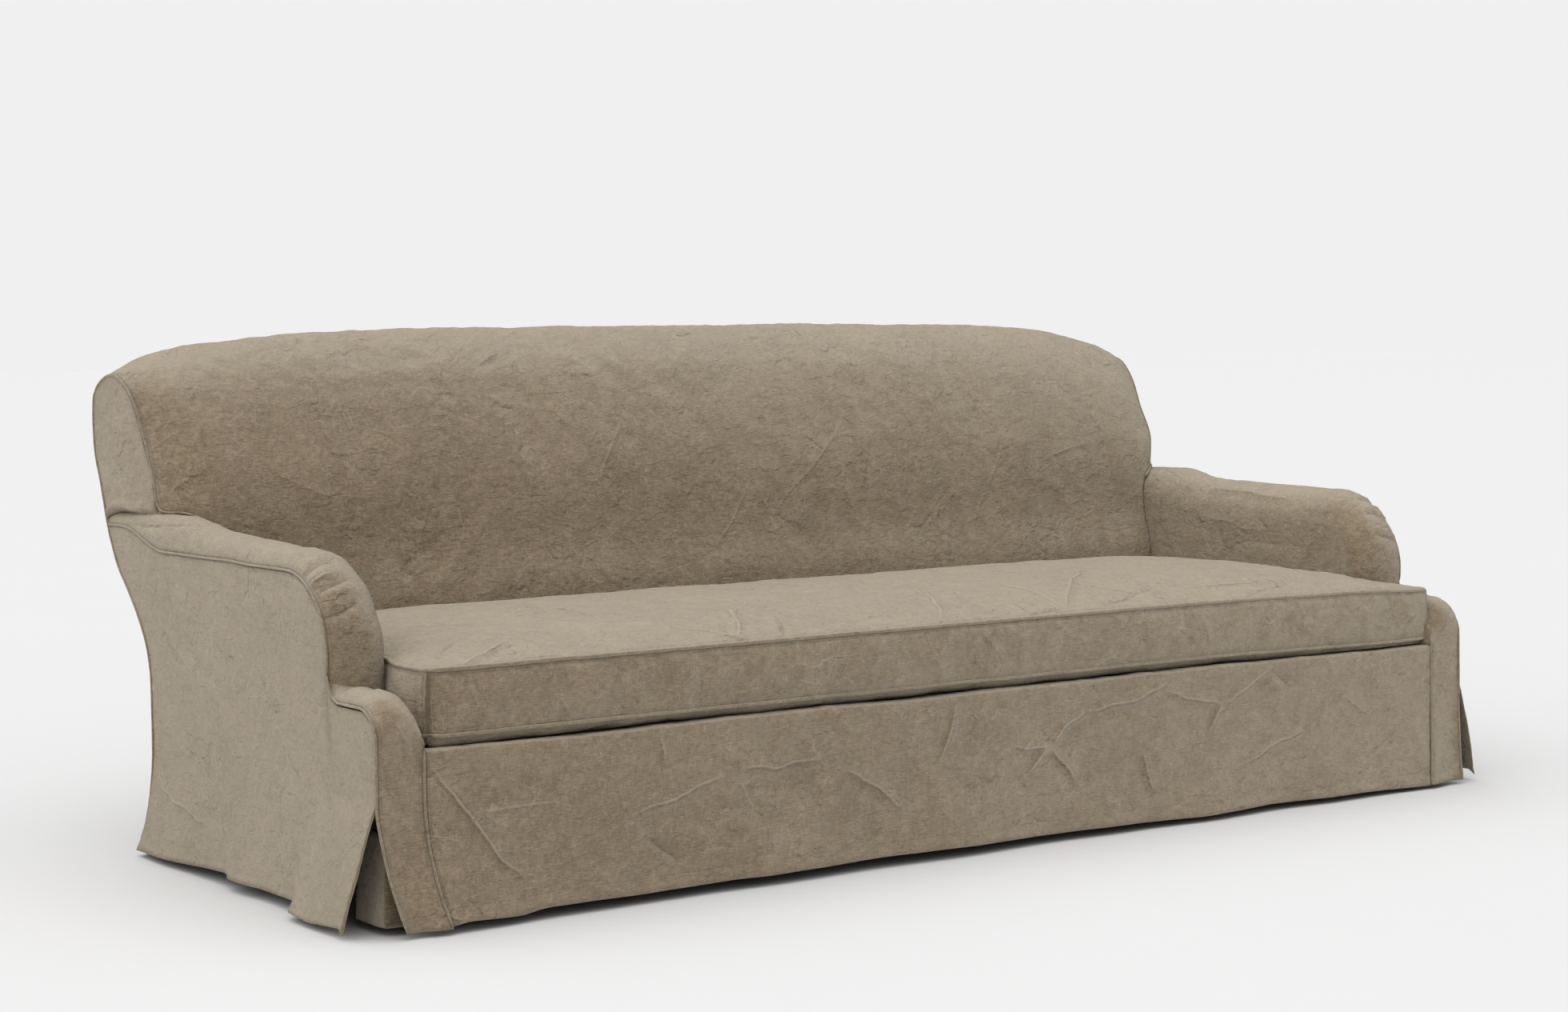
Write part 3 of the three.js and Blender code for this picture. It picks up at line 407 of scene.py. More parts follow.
def coons(bottom, top, left, right):
    """A patch between four edges: bottom and top run the same way, left and right run up."""
    rows, columns = len(left), len(bottom)
    u = np.linspace(0, 1, columns)[None, :, None]
    v = np.linspace(0, 1, rows)[:, None, None]
    bottom, top = np.array(bottom)[None], np.array(top)[None]
    left, right = np.array(left)[:, None], np.array(right)[:, None]
    corners = ((1 - u) * (1 - v) * bottom[:, :1] + u * (1 - v) * bottom[:, -1:]
               + (1 - u) * v * top[:, :1] + u * v * top[:, -1:])
    return (1 - v) * bottom + v * top + (1 - u) * left + u * right - corners


def rows_of(mesh):
    values = np.empty(len(mesh.vertices) * 3)
    mesh.vertices.foreach_get("co", values)
    return values.reshape(-1, 3)


def normals_of(mesh):
    values = np.empty(len(mesh.vertices) * 3)
    mesh.vertex_normals.foreach_get("vector", values)
    return values.reshape(-1, 3)


# Seams and relief

# Every welt is a polyline, and the cloth beside it is drawn in and puckered
seams = {}

# Wanders, crinkles and puckers: the scale of the noise, then its height in metres
SLOW_WANDER = (3.1, 0.0028)
QUICK_WANDER = (11, 0.0011)
BEND = (5, 0.035)
SOFT = (7, 0.0016)
FOLDS = (15, 0.0014)
FINE = (38, 0.0009)
PUCKERS = (62, 0.0018)
PUCKER_REACH = 0.016
RIDGE_LEVEL = 0.62

# Hems and creases
HEM_THICKNESS = 0.0007
HEM_GROOVE = 0.0011
CREASE_WANDER = 0.008
CREASE_REACH = 0.03
CLEAR_RISE = 0.0034


def add_seam(name, points):
    seams[name] = even(settle(points), steps_for(length_of(points), CLOSE_SPACING))


def drift(points):
    """A slow wander of the whole cover, the sunken far corners of the back and its fuller right end."""
    moved = np.array(points, float)
    for k, point in enumerate(moved):
        slow = noise.noise_vector(Vector(point) * SLOW_WANDER[0])
        quick = noise.noise_vector(Vector(point) * QUICK_WANDER[0] + Vector((7, 3, 5)))
        moved[k] = point + np.array(slow) * SLOW_WANDER[1] + np.array(quick) * QUICK_WANDER[1]
    end, far, high = smooth(np.abs(moved[:, 0]), 1.13, 1.19), moved[:, 1] + BASE_SHIFT, moved[:, 2]
    moved[:, 2] -= CORNER_SINK * end * smooth(far, 0.96, 1.05) * smooth(high, 0.66, 0.78)
    fuller = bell(high, 0.665, 0.05) * smooth(high, 0.59, 0.62)
    moved[:, 0] += RIGHT_FULLNESS * smooth(moved[:, 0], 1.08, 1.16) * fuller * (far < 0.97)
    return moved


def gap_to(lines, points):
    """Distance of each point to the nearest welt, at most FAR_GAP."""
    tree = tree_of(np.concatenate(list(lines)))
    return np.array([min(tree.find(point)[2], FAR_GAP) for point in points])


def ridge(value):
    """High and sharp where a noise passes through zero."""
    return 1 - abs(value) * 2 - RIDGE_LEVEL


def crumple(point, gap, amount, offset):
    """Height of the crinkles of washed linen at a point, and a tone: pale on the ridges for rubbing and
    painted highlight, dark in the hollows as painted shade.
    """
    place = Vector(point) + offset
    bend = noise.noise_vector(place * BEND[0]) * BEND[1]
    soft = noise.noise(place * SOFT[0]) * SOFT[1]
    folds = ridge(noise.noise((place + bend) * FOLDS[0]))
    fine = ridge(noise.noise((place + bend) * FINE[0]))
    crushed = max(noise.noise(place * 3.3 + Vector((5, 1, 8))) + 0.35, 0)
    pucker = noise.noise(place * PUCKERS[0]) * PUCKERS[1] * math.exp(-gap / PUCKER_REACH)
    open_cloth = min(gap / 0.012, 1)
    height = (soft + folds * FOLDS[1] * (0.5 + crushed) + fine * FINE[1]) * amount
    # positive on the ridges, drawn pale for wear and painted highlight; negative in the hollows, drawn dark
    # as painted shade
    crinkle_wear_highlight_shade = (folds * 0.9 * (0.3 + crushed) + fine * 0.8) * amount
    return height * open_cloth + pucker * min(gap / 0.004, 1), crinkle_wear_highlight_shade * open_cloth


def relief(points, normals, gap, amount, offset, creases):
    """Height of the crinkles and creases at each point, its tone (rubbed pale and painted highlight on
    ridges, painted shade in hollows), its fold and its mark.
    """
    height, worn = np.array([crumple(p, g, amount, offset) for p, g in zip(points, gap)]).T
    rise, fold, mark = creased(points, normals, creases)
    return height + rise * np.minimum(gap / 0.005, 1), worn, fold, mark


def dress(name, cloth, nodes, amount=1.0, creases=(), thickness=CLOTH):
    """Makes a cloth piece from its grids: crumpled, thick, and standing for its CAD nodes."""
    mesh = cloth.mesh(name)
    rest, normals = rows_of(mesh), normals_of(mesh)
    gap = gap_to(seams.values(), rest)
    # each piece has crinkles of its own
    offset = Vector((len(name) * 1.7, sum(map(ord, name)) % 13, 2.9))
    height, worn, fold, mark = relief(rest, normals, gap, amount, offset, creases)
    hem = np.array(cloth.hems)
    height += HEM_THICKNESS * smooth(HEM_WIDTH - hem, -0.002, 0.002)
    height -= HEM_GROOVE * bell(hem, HEM_WIDTH, 0.003)
    points = drift(rest) + normals * height[:, None]
    # cloth that lies on the deck keeps the padding below it covered
    lying = (np.abs(rest[:, 2] - DECK_TOP) < 0.008) & (np.abs(normals[:, 2]) > 0.7)
    points[lying, 2] = np.maximum(points[lying, 2], DECK_TOP - DECK_SINK)
    mesh.vertices.foreach_set("co", points.ravel())
    add_values(mesh, gap=gap, worn=worn, hem=hem, fold=fold, mark=mark)
    piece = placed(name, mesh)
    solid = piece.modifiers.new("cloth thickness", "SOLIDIFY")
    solid.thickness, solid.offset = thickness, -1
    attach(piece, "sofa_body")
    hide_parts(*nodes)
    return piece


def crease_path(start, end, points, normals, tree):
    """A crease laid on the cloth: places along it and the direction across it at each."""
    count = steps_for(length_of([start, end]), 0.010)
    straight = settle(np.linspace(start, end, count + 1))
    bent = [Vector(place) + noise.noise_vector(Vector(place) * 16) * CREASE_WANDER for place in straight]
    path = rounded(points[[tree.find(place)[1] for place in bent]], 1, 2)
    path = even(path, steps_for(length_of(path), 0.003))
    along = np.gradient(path, axis=0)
    across = np.cross(along, normals[[tree.find(place)[1] for place in path]])
    return path, across / np.maximum(np.linalg.norm(across, axis=1), 1e-9)[:, None]


def creased(points, normals, creases):
    """Height of the creases at each point, its distance across the nearest one, and its strength."""
    height, mark = np.zeros(len(points)), np.zeros(len(points))
    fold, nearest = np.full(len(points), CREASE_REACH), np.full(len(points), CREASE_REACH)
    tree = tree_of(points)
    for start, end, rise, width in creases:
        path, across = crease_path(start, end, points, normals, tree)
        reach = length_of(path) / 2 + 0.04
        near = np.flatnonzero(np.linalg.norm(points - path.mean(axis=0), axis=1) < reach)
        offset = points[near][:, None] - path[None]
        distance = np.linalg.norm(offset, axis=2)
        pick, rows = distance.argmin(axis=1), np.arange(len(near))
        away = distance[rows, pick]
        lean = (offset[rows, pick] * across[pick]).sum(axis=1)
        share = pick / (len(path) - 1)
        fade = np.sqrt(np.clip(4 * share * (1 - share), 0, 1))
        # a valley runs beside each ridge
        beside = away ** 2 - lean ** 2 + (lean - 1.7 * width) ** 2
        shape = np.exp(-(away / width) ** 2) - 0.6 * np.exp(-np.maximum(beside, 0) / width ** 2)
        height[near] += rise * fade * shape
        closer = away < nearest[near]
        chosen = near[closer]
        nearest[chosen] = away[closer]
        fold[chosen] = lean[closer]
        strength = math.copysign(min(abs(rise) / CLEAR_RISE, 1), rise)
        mark[chosen] = (strength * fade * (1 - smooth(away, 0.016, CREASE_REACH)))[closer]
    return height, fold, mark


def sewn_welt(name, lines, radius, body):
    """Round welts along one or more seams, as one piece."""
    sides = 8
    vertices, faces, corners = [], [], []
    for line in lines:
        along = np.gradient(line, axis=0)
        along /= np.linalg.norm(along, axis=1)[:, None]
        run = runs_of(line)
        side = np.cross(along[0], (0.3, 0.2, 1.0))
        first = len(vertices)
        for k, (point, ahead) in enumerate(zip(line, along)):
            side = side - ahead * (side @ ahead)
            side /= np.linalg.norm(side)
            up = np.cross(ahead, side)
            close = min(1.0, 0.35 + min(k, len(line) - 1 - k) * 0.4)
            thick = radius * close * (1 + 0.13 * noise.noise(Vector(point) * 45))
            for turn in range(sides):
                angle = 2 * math.pi * turn / sides
                vertices.append(point + thick * (math.cos(angle) * side + math.sin(angle) * up))
        for k in range(len(line) - 1):
            for turn in range(sides):
                after = (turn + 1) % sides
                a = first + k * sides
                faces.append([a + turn, a + after, a + sides + after, a + sides + turn])
                low, high = turn * 0.0025, (turn + 1) * 0.0025
                corners.extend([(low, run[k]), (high, run[k]), (high, run[k + 1]), (low, run[k + 1])])
        last = first + (len(line) - 1) * sides
        faces.append([first + turn for turn in reversed(range(sides))])
        faces.append([last + turn for turn in range(sides)])
        corners.extend([(0, 0)] * sides * 2)
    mesh = new_mesh(name, vertices, faces, corners)
    plain = {"gap": 0.03, "worn": 0.25, "hem": FAR, "fold": CREASE_REACH, "mark": 0}
    add_values(mesh, **{label: [value] * len(vertices) for label, value in plain.items()})
    piece = placed(name, mesh)
    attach(piece, body)
    return piece


# The back

WING_SINK = 0.004
WING_FOOT_DEPTH = 0.85


def inside_back():
    """Cloth over the front and top of the back, with the wings that rest on the arms."""
    low = float(share_at_height(0.29))
    foot = float(share_at_height(arm_top(ARM_INSIDE, WING_FOOT_DEPTH) - WING_SINK))
    probe = np.linspace(low, 1, 300)
    line = np.stack(front_point(0.0, probe), axis=1)
    runs = runs_of(line)
    foot_run = float(np.interp(foot, probe, runs))
    below = np.interp(np.linspace(0, foot_run, steps_for(foot_run) + 1), runs, probe)
    above_run = runs[-1] - foot_run
    above = np.interp(np.linspace(foot_run, runs[-1], steps_for(above_run) + 1), runs, probe)
    cloth = Cloth()

    def rows(x, shares):
        y, z = front_point(x, shares)
        return np.stack([x, y, z], axis=-1)

    across = np.linspace(-ARM_INSIDE, ARM_INSIDE, steps_for(2 * ARM_INSIDE) + 1)
    every = np.concatenate([below[:-1], above])
    whole = rows(across[None, :] + 0 * every[:, None], every[:, None] + 0 * across[None, :])
    cloth.grid(whole)
    climb = ((above - above[0]) / (1 - above[0]))[:, None]
    share = np.linspace(0, 1, steps_for(HALF_WIDTH - ARM_INSIDE, CLOSE_SPACING) + 1)[None, :]
    corners = {}
    for side in (-1, 1):
        start = np.full_like(share, foot)
        for _ in range(4):
            x = mix(ARM_INSIDE, wing_end(start), share)
            start = share_at_height(arm_top(x, WING_FOOT_DEPTH) - WING_SINK)
        shares = mix(start, 1.0, climb)
        face = rows(side * mix(ARM_INSIDE, wing_end(shares), share), shares)
        cloth.grid(face, shift=(side * 3.0, 0), flip=side < 0)
        welt = face[0].copy()
        welt[:, 1] -= 0.003
        welt[:, 2] += WING_SINK + 0.002 + 0.0018 * np.sin(share[0] * 13)
        add_seam(f"wing_{side}", rounded(np.concatenate([welt[2:], face[1:, -1]])))
        corners[side] = face[-1]
    left, right = corners[-1][::-1][:-1], corners[1][1:]
    add_seam("back_top", np.concatenate([left, whole[-1], right]))
    return cloth


def gusset(side):
    """The flat end of the back between its two seams, which folds on to the arm at its foot."""
    count = steps_for(0.3, CLOSE_SPACING)
    end_x = HALF_WIDTH - 0.020
    foot = float(share_at_height(arm_top(end_x, WING_FOOT_DEPTH) - WING_SINK))
    shares = np.linspace(foot, 1, 200)
    x = wing_end(shares)
    y, z = front_point(x, shares)
    front = even(np.stack([side * x, y, z], axis=1), count)
    rear_foot = float(arm_top(HALF_WIDTH - 0.006, 0.93)) - WING_SINK
    rear_z = np.linspace(rear_foot, REAR_CURVE[0, 1], 200)
    rear = np.stack([np.full(200, side * HALF_WIDTH), rear_depth(rear_z),
                     camel_lowered(np.full(200, HALF_WIDTH), rear_z)], axis=1)
    rear = even(rear, count)
    columns = steps_for(0.16, CLOSE_SPACING)
    bottom = np.linspace(front[0], rear[0], columns + 1)
    top = np.linspace(front[-1], rear[-1], columns + 1)
    bottom[:, 2] = arm_top(bottom[:, 0], bottom[:, 1]) - WING_SINK
    patch = coons(bottom, top, front, rear)
    along = np.linspace(0, 1, columns + 1)[None, :]
    up = np.linspace(0, 1, count + 1)[:, None] * length_of(front)
    between = np.sin(np.pi * along) ** 0.5
    swell = 0.004 * np.sin(np.pi * np.clip(up / up.max(), 0, 1))
    roll = 0.0115 * bell(up, 0.018, 0.011) - 0.009 * bell(up, 0, 0.007)
    sag = 0.004 * np.sin(along * 9 + 1) * bell(up, 0.02, 0.02)
    patch[..., 0] += side * (swell + roll) * between
    patch[..., 2] += sag * between
    return one_grid(patch, flip=side < 0)


def hem_fall(z):
    fall = np.maximum(FLARE_HEIGHT - z, 0) / (FLARE_HEIGHT - HEM_HEIGHT)
    return fall * fall


def outside_back():
    """The outside of the back, from the top seam down the rear to the hem."""
    coarse = SPACING * 1.25
    columns = steps_for(2 * HALF_WIDTH, coarse)
    u = np.linspace(0, 1, columns + 1)
    x = mix(-HALF_WIDTH, HALF_WIDTH, u)
    curve = even(REAR_CURVE, steps_for(length_of(REAR_CURVE), coarse))
    clear = REAR_CLEARANCE * np.sin(np.pi * u) ** 0.3
    rows = [np.stack([x, y + clear * (1 - smooth(z, 0.42, 0.60)), camel_lowered(x, np.full_like(x, z))],
                     axis=1) for y, z in curve]
    foot = curve[-1][1]
    count = steps_for(foot - HEM_HEIGHT, coarse)
    lift = HEM_LIFT * np.sin(np.pi * u)
    for k in range(1, count + 1):
        z = mix(foot, HEM_HEIGHT + lift, k / count)
        fall = hem_fall(z)
        folds = 0.012 * np.sin(u * 31 + 1.3) * fall + 0.007 * np.sin(u * 53) * fall
        y = BASE_DEPTH + REAR_FLARE * fall + folds * np.sin(np.pi * u) ** 0.3 + clear
        rows.append(np.stack([x, y, z], axis=1))
    patch = np.array(rows)
    for side, column in ((-1, 0), (1, -1)):
        add_seam(f"rear_edge_{side}", patch[:, column])
    return one_grid(patch)


# The arms

def arm_outline():
    """Stations of the arm's outer edge: y, z, how far the padding crowns, and its inner roll."""
    upright = [(ARM_SETBACK, z, NOSE_CROWN, NOSE_ROLL)
               for z in np.linspace(DECK_TOP, ARM_HEIGHT - NOSE_HEIGHT, steps_for(0.14))]
    arc = []
    for angle in quarter(steps_for(0.2, 0.0065)):
        top = math.sin(angle)
        arc.append((ARM_SETBACK + NOSE_DEPTH * (1 - math.cos(angle)),
                    ARM_HEIGHT - NOSE_HEIGHT * (1 - top),
                    mix(NOSE_CROWN, ARM_CROWN - ARM_DIP, top ** 2), mix(NOSE_ROLL, ARM_ROLL, top ** 2)))
    start = ARM_SETBACK + NOSE_DEPTH
    rear = float(rear_depth(ARM_HEIGHT + ARM_RISE))
    along = []
    for y in np.linspace(start, rear, steps_for(rear - start))[1:]:
        along.append((y, *arm_station(y)))
    return np.array(upright + arc + along), len(upright)


def outward(points):
    """Normals of an outline that runs up the front and back over the top."""
    run = np.gradient(points, axis=0)
    run /= np.linalg.norm(run, axis=1)[:, None]
    return np.stack([-run[:, 1], run[:, 0]], axis=1)


def cross_shares(count):
    """Shares across a crowned edge, closer together where it turns down."""
    third = max(count // 3, 4)
    rise = ARM_PEAK * (1 - np.cos(np.linspace(0, math.pi / 2, third)))
    roll = ARM_ROLL_START + (1 - ARM_ROLL_START) * np.sin(np.linspace(0, math.pi / 2, third * 2))
    return np.concatenate([rise, roll])


def crowned(outline, crown, roll, outer, inner, side, shares):
    """A grid over an outline that crowns from its outer edge and rolls down at its inner one."""
    push = outward(outline)
    height = padding(shares[None, :], crown[:, None], roll[:, None])
    x = side * mix(outer[:, None], inner[:, None], shares[None, :])
    y = outline[:, None, 0] + push[:, None, 0] * height
    z = outline[:, None, 1] + push[:, None, 1] * height
    return np.stack([x, y, z], axis=-1)


def arm_cover(side):
    """Cloth over the top, front and inner side of an arm."""
    stations, foot = arm_outline()
    shares = cross_shares(30)
    outer = HALF_WIDTH - 0.010 * (1 - smooth(stations[:, 1], LEDGE_SEAM - 0.02, LEDGE_SEAM))
    inner = np.full(len(stations), ARM_INSIDE)
    over = crowned(stations[:, :2], stations[:, 2], stations[:, 3], outer, inner, side, shares)
    cloth = Cloth()
    cloth.grid(over, flip=side > 0)
    edge = over[:, -1]
    last = int(np.argmax(edge[:, 1] > 0.83))
    left, top = edge[:foot], edge[foot - 1:last]
    bottom_y = even(np.array([[edge[0][1]], [top[-1][1]]]), len(top) - 1)[:, 0]
    bottom = np.stack([np.full(len(top), side * ARM_INSIDE), bottom_y,
                       np.full(len(top), DECK_TOP)], axis=1)
    right = np.linspace(bottom[-1], top[-1], len(left))
    wall = coons(bottom, top, left, right)
    cloth.grid(wall, shift=(0, 2.0), flip=side > 0)
    welt = np.stack([np.full(len(stations), side * HALF_WIDTH), stations[:, 0], stations[:, 1]], axis=1)
    add_seam(f"arm_{side}", welt[stations[:, 1] > LEDGE_SEAM])
    return cloth


def ledge_outline():
    """Stations over the ledge in front of an arm: y, z, and the crown and roll of its padding."""
    upright = [(0, z, 0, 0) for z in np.linspace(FLARE_HEIGHT, LEDGE_HEIGHT - LEDGE_RADIUS, steps_for(0.1))]
    arc = []
    for angle in quarter(steps_for(LEDGE_RADIUS * 1.6, 0.005)):
        top = math.sin(angle)
        arc.append((LEDGE_RADIUS * (1 - math.cos(angle)), LEDGE_HEIGHT - LEDGE_RADIUS * (1 - top),
                    LEDGE_CROWN * top, LEDGE_ROLL * top))
    start, end = LEDGE_RADIUS, ARM_SETBACK - LEDGE_FILLET
    level = [(y, LEDGE_HEIGHT, LEDGE_CROWN, LEDGE_ROLL)
             for y in np.linspace(start, end, steps_for(end - start))[1:]]
    fillet = []
    for angle in quarter(steps_for(LEDGE_FILLET * 1.6, 0.005)):
        fillet.append((ARM_SETBACK - LEDGE_FILLET * (1 - math.sin(angle)),
                       LEDGE_HEIGHT + LEDGE_FILLET * (1 - math.cos(angle)),
                       mix(LEDGE_CROWN, -0.002, math.sin(angle)), LEDGE_ROLL))
    return np.array(upright + arc + level + fillet)


def strip_inner(z):
    return LEDGE_INSIDE - SEAM_SLANT * hem_fall(z)


# How far the strip stands back at the foot of the slit, left and right
STRIP_SLIT_SPREAD = {-1: 0.040, 1: 0.014}


def ledge_strip(side):
    """Cloth over the ledge that hangs down the front to its hem, split at the side."""
    stations = ledge_outline()
    shares = cross_shares(18)
    full = np.full(len(stations), 1.0)
    over = crowned(stations[:, :2], stations[:, 2], stations[:, 3],
                   HALF_WIDTH * full, LEDGE_INSIDE * full, side, shares)
    rows = []
    count = steps_for(0.19)
    for k in range(count):
        z = mix(HEM_HEIGHT, FLARE_HEIGHT, k / count)
        fall = hem_fall(z)
        opening = max(SLIT_HEIGHT - z, 0) / SLIT_HEIGHT
        outer = HALF_WIDTH - opening ** 1.3 * STRIP_SLIT_SPREAD[side]
        x = side * mix(outer, strip_inner(z), shares)
        curl = 0.006 * opening * np.sin(shares * math.pi * 1.5 + 0.4)
        rows.append(np.stack([x, -FRONT_FLARE * fall + curl, np.full_like(x, z)], axis=1))
    whole = np.concatenate([np.array(rows), over])
    cloth = Cloth()
    cloth.grid(whole, flip=side > 0, hemmed=True)
    inner = over[stations[:, 1] > DECK_TOP, -1]
    inner = inner[inner[:, 1] < ARM_SETBACK + 0.02]
    tuck = [inner]
    for share in (0.33, 0.66, 1.0):
        row = inner.copy()
        row[:, 0] = side * (LEDGE_INSIDE - 0.001 * share)
        row[:, 2] = mix(inner[:, 2], DECK_TOP, share)
        tuck.append(row)
    tuck = np.array(tuck)
    cloth.grid(tuck, shift=(0, 1.0), flip=side < 0)
    add_seam(f"strip_outer_{side}", whole[:, 0])
    top_row = len(rows) + int(np.argmax(over[:, -1, 2] > DECK_TOP + 0.008))
    add_seam(f"strip_inner_{side}", whole[:top_row, -1])
    return cloth


SKIRT_TOP = DECK_TOP + 0.0055
SKIRT_FOLD = 0.006


def skirt_level(depth):
    """Height of the turned edge of the skirt on the deck, at a depth from the front."""
    return mix(SKIRT_TOP, DECK_TOP, smooth(depth, 0.02, 0.07))


def front_skirt():
    """The front of the base, folded over the edge of the deck and hanging to its hem."""
    columns = steps_for(2 * LEDGE_INSIDE)
    u = np.linspace(0, 1, columns + 1)
    rows = []
    hem = traced(FRONT_HEM, mix(-LEDGE_INSIDE, LEDGE_INSIDE, u))
    count = steps_for(DECK_TOP - HEM_HEIGHT)
    waves = wave_row(FRONT_WAVES, u)
    ripple = 0.5 + 0.5 * np.sin(u * 44 + 0.7 * np.sin(u * 9))
    for k in range(count + 1):
        z = mix(hem, SKIRT_TOP - SKIRT_FOLD, k / count)
        fall = hem_fall(z)
        x = (2 * u - 1) * strip_inner(z)
        y = -FRONT_FLARE * waves * fall - 0.004 * ripple * fall
        rows.append(np.stack([x, y, z], axis=1))
    for angle in quarter(5):
        turned = rows[count].copy()
        turned[:, 1] = SKIRT_FOLD * (1 - math.cos(angle))
        turned[:, 2] = SKIRT_TOP - SKIRT_FOLD * (1 - math.sin(angle))
        rows.append(turned)
    for depth in np.linspace(0.02, ARM_SETBACK, 8):
        level = rows[-1].copy()
        level[:, 1] = depth
        level[:, 2] = skirt_level(depth)
        rows.append(level)
    return one_grid(np.array(rows), hemmed=True)


# How the panel opens at the slit, left and right: back along the side, and out from it
UPRIGHT_SHARE = 2.5
SLIT_SPREAD = {-1: 0.036, 1: 0.004}
FLAP_REACH = {-1: 0.043, 1: 0.052}


def outside_panel(side):
    """The outside of an arm, from its welt down to the hem of the skirt."""
    ledge = ledge_outline()
    arm, _foot = arm_outline()
    arm_edge = arm[arm[:, 1] > LEDGE_SEAM][:, :2]
    edge = np.concatenate([ledge[ledge[:, 1] > LEDGE_HEIGHT - LEDGE_RADIUS][:, :2], arm_edge])
    columns = steps_for(length_of(edge))
    top = even(edge, columns)
    rear_z = np.linspace(HEM_HEIGHT, ARM_HEIGHT + ARM_RISE, 300)
    rear = np.stack([rear_depth(rear_z) + REAR_FLARE * hem_fall(rear_z), rear_z], axis=1)
    front_z = np.linspace(HEM_HEIGHT, LEDGE_HEIGHT - LEDGE_RADIUS, 200)
    opening = np.maximum(SLIT_HEIGHT - front_z, 0) / SLIT_HEIGHT
    front = np.stack([SLIT_SPREAD[side] * opening ** 0.9, front_z], axis=1)
    count = steps_for(0.42)
    steps = np.abs(np.diff(top, axis=0)) @ (1.0, UPRIGHT_SHARE)
    hem_y = mix(front[0][0], rear[0][0], np.concatenate([[0], np.cumsum(steps)]) / steps.sum())
    bottom = np.stack([hem_y, traced(SIDE_HEM, hem_y)], axis=1)
    bottom[0], bottom[-1] = front[0], rear[0]
    patch = coons(bottom, top, even(front, count), even(rear, count))
    y, z = patch[..., 0], patch[..., 1]
    out = hem_fall(z) * SIDE_FLARE * traced(SIDE_FOLDS, y)
    out = mix(FLAP_REACH[side] * hem_fall(z) ** 0.4, out, smooth(y, 0.06, 0.24))
    x = side * (HALF_WIDTH + out)
    return one_grid(np.stack([x, y, z], axis=-1), flip=side < 0, hemmed=True)


PLEAT_REACH = 0.095
PLEAT_FOOT = 0.0144
PLEAT_TOP = 0.1517
PLEAT_INSET = (0.024, 0.020)
PLEAT_FLARE = 0.008


def kick_pleat(side):
    """The cloth that shows in the open slit at a front corner."""
    count = steps_for(0.14)
    run = np.linspace(-PLEAT_REACH, PLEAT_REACH, steps_for(2 * PLEAT_REACH) + 1)
    rows = []
    for k in range(count + 1):
        z = mix(PLEAT_FOOT, PLEAT_TOP, k / count)
        fall = hem_fall(z)
        outer = HALF_WIDTH - CLOTH_SEAT - PLEAT_INSET[0] + PLEAT_FLARE * fall
        front = CLOTH_SEAT + PLEAT_INSET[1] - PLEAT_FLARE * fall
        x = outer - np.maximum(-run, 0)
        y = front + np.maximum(run, 0)
        bend = bell(run, 0, 0.012) * 0.004
        rows.append(np.stack([side * (x - bend), y + bend, np.full_like(run, z)], axis=1))
    return one_grid(np.array(rows), flip=side < 0)


def deck():
    """The flat cloth under the cushion."""
    columns, rows = [steps_for(length, 0.02) for length in (2 * ARM_INSIDE, BACK_FOOT)]
    x = np.linspace(-ARM_INSIDE - 0.001, ARM_INSIDE + 0.001, columns + 1)
    y = np.linspace(ARM_SETBACK - DECK_LAP, BACK_FOOT + 0.02, rows + 1)
    level = np.full((rows + 1, columns + 1), DECK_TOP - DECK_SINK)
    return one_grid(np.stack([*np.meshgrid(x, y), level], axis=-1))


# The cushion

CUSHION_SEAM_IN = 0.009
CUSHION_WELT_RADIUS = 0.0036
WELT_GROOVE = 0.0018
FILL_REACH = 0.008
CUSHION_SPACING = 0.021
LOWER_WELT = 0.297
FRONT_SPREAD = (0.027, 0.056)
CORNER_DROP = 0.007
CORNER_DROOP = 0.006


def gathered(count):
    """Places from -1 to 1 that lie closer together towards both ends."""
    place = np.linspace(-1, 1, count + 1)
    return 1.25 * place - 0.25 * place ** 3


def cushion_shell():
    """The boxed cover of the bench cushion before it is filled, its walls, its top and its bottom."""
    half = CUSHION_REACH - CUSHION_SEAM_IN + 0.004
    front, rear = CLOTH_SEAT + CUSHION_SEAM_IN, CUSHION_REAR - CUSHION_SEAM_IN
    columns, rows = steps_for(2 * half, CUSHION_SPACING), steps_for(rear - front, CUSHION_SPACING)
    u, v = gathered(columns)[None, :], gathered(rows)[:, None]
    corner = 0.006 * np.abs(u) ** 24 * np.abs(v) ** 12
    y = mix(front, rear, (v + 1) / 2) - np.sign(v) * corner
    spread = np.where(u < 0, *FRONT_SPREAD) * (1 - smooth(y, 0.10, 0.20))
    x = u * (half - corner + spread * np.abs(u) ** 6)
    dome = (1 - np.abs(u) ** 10) * (1 - np.abs(v) ** 7)
    over = np.stack([x + 0 * v, y + 0 * u, CUSHION_EDGE + (CUSHION_CROWN - 0.004) * dome], axis=-1)
    belly = (1 - np.abs(u) ** 200) * (1 - np.abs(v) ** 90)
    under = np.stack([x + 0 * v, y + 0 * u, mix(LOWER_WELT, CUSHION_BOTTOM + 0.001, belly)], axis=-1)
    cloth = Cloth()
    cloth.grid(over)
    cloth.grid(under, shift=(0, 1.2), flip=True)
    layers = 6
    walls = {}
    edges = {
        "front": (over[0], under[0], (0, -1)), "rear": (over[-1], under[-1], (0, 1)),
        "left": (over[:, 0], under[:, 0], (-1, 0)), "right": (over[:, -1], under[:, -1], (1, 0)),
    }
    for index, (label, (high, low, out)) in enumerate(edges.items()):
        share = np.linspace(0, 1, layers + 1)[:, None, None]
        wall = mix(low[None], high[None], share)
        run = np.linspace(-1, 1, len(high))
        swell = (CUSHION_SEAM_IN - 0.002) * np.sin(np.pi * share[..., 0]) * (1 - run[None, :] ** 20)
        wall[..., 0] += out[0] * swell
        wall[..., 1] += out[1] * swell
        cloth.grid(wall, shift=(0, 2.4 + index), flip=label in ("rear", "left"))
        walls[label] = wall
    return cloth, walls, over, under


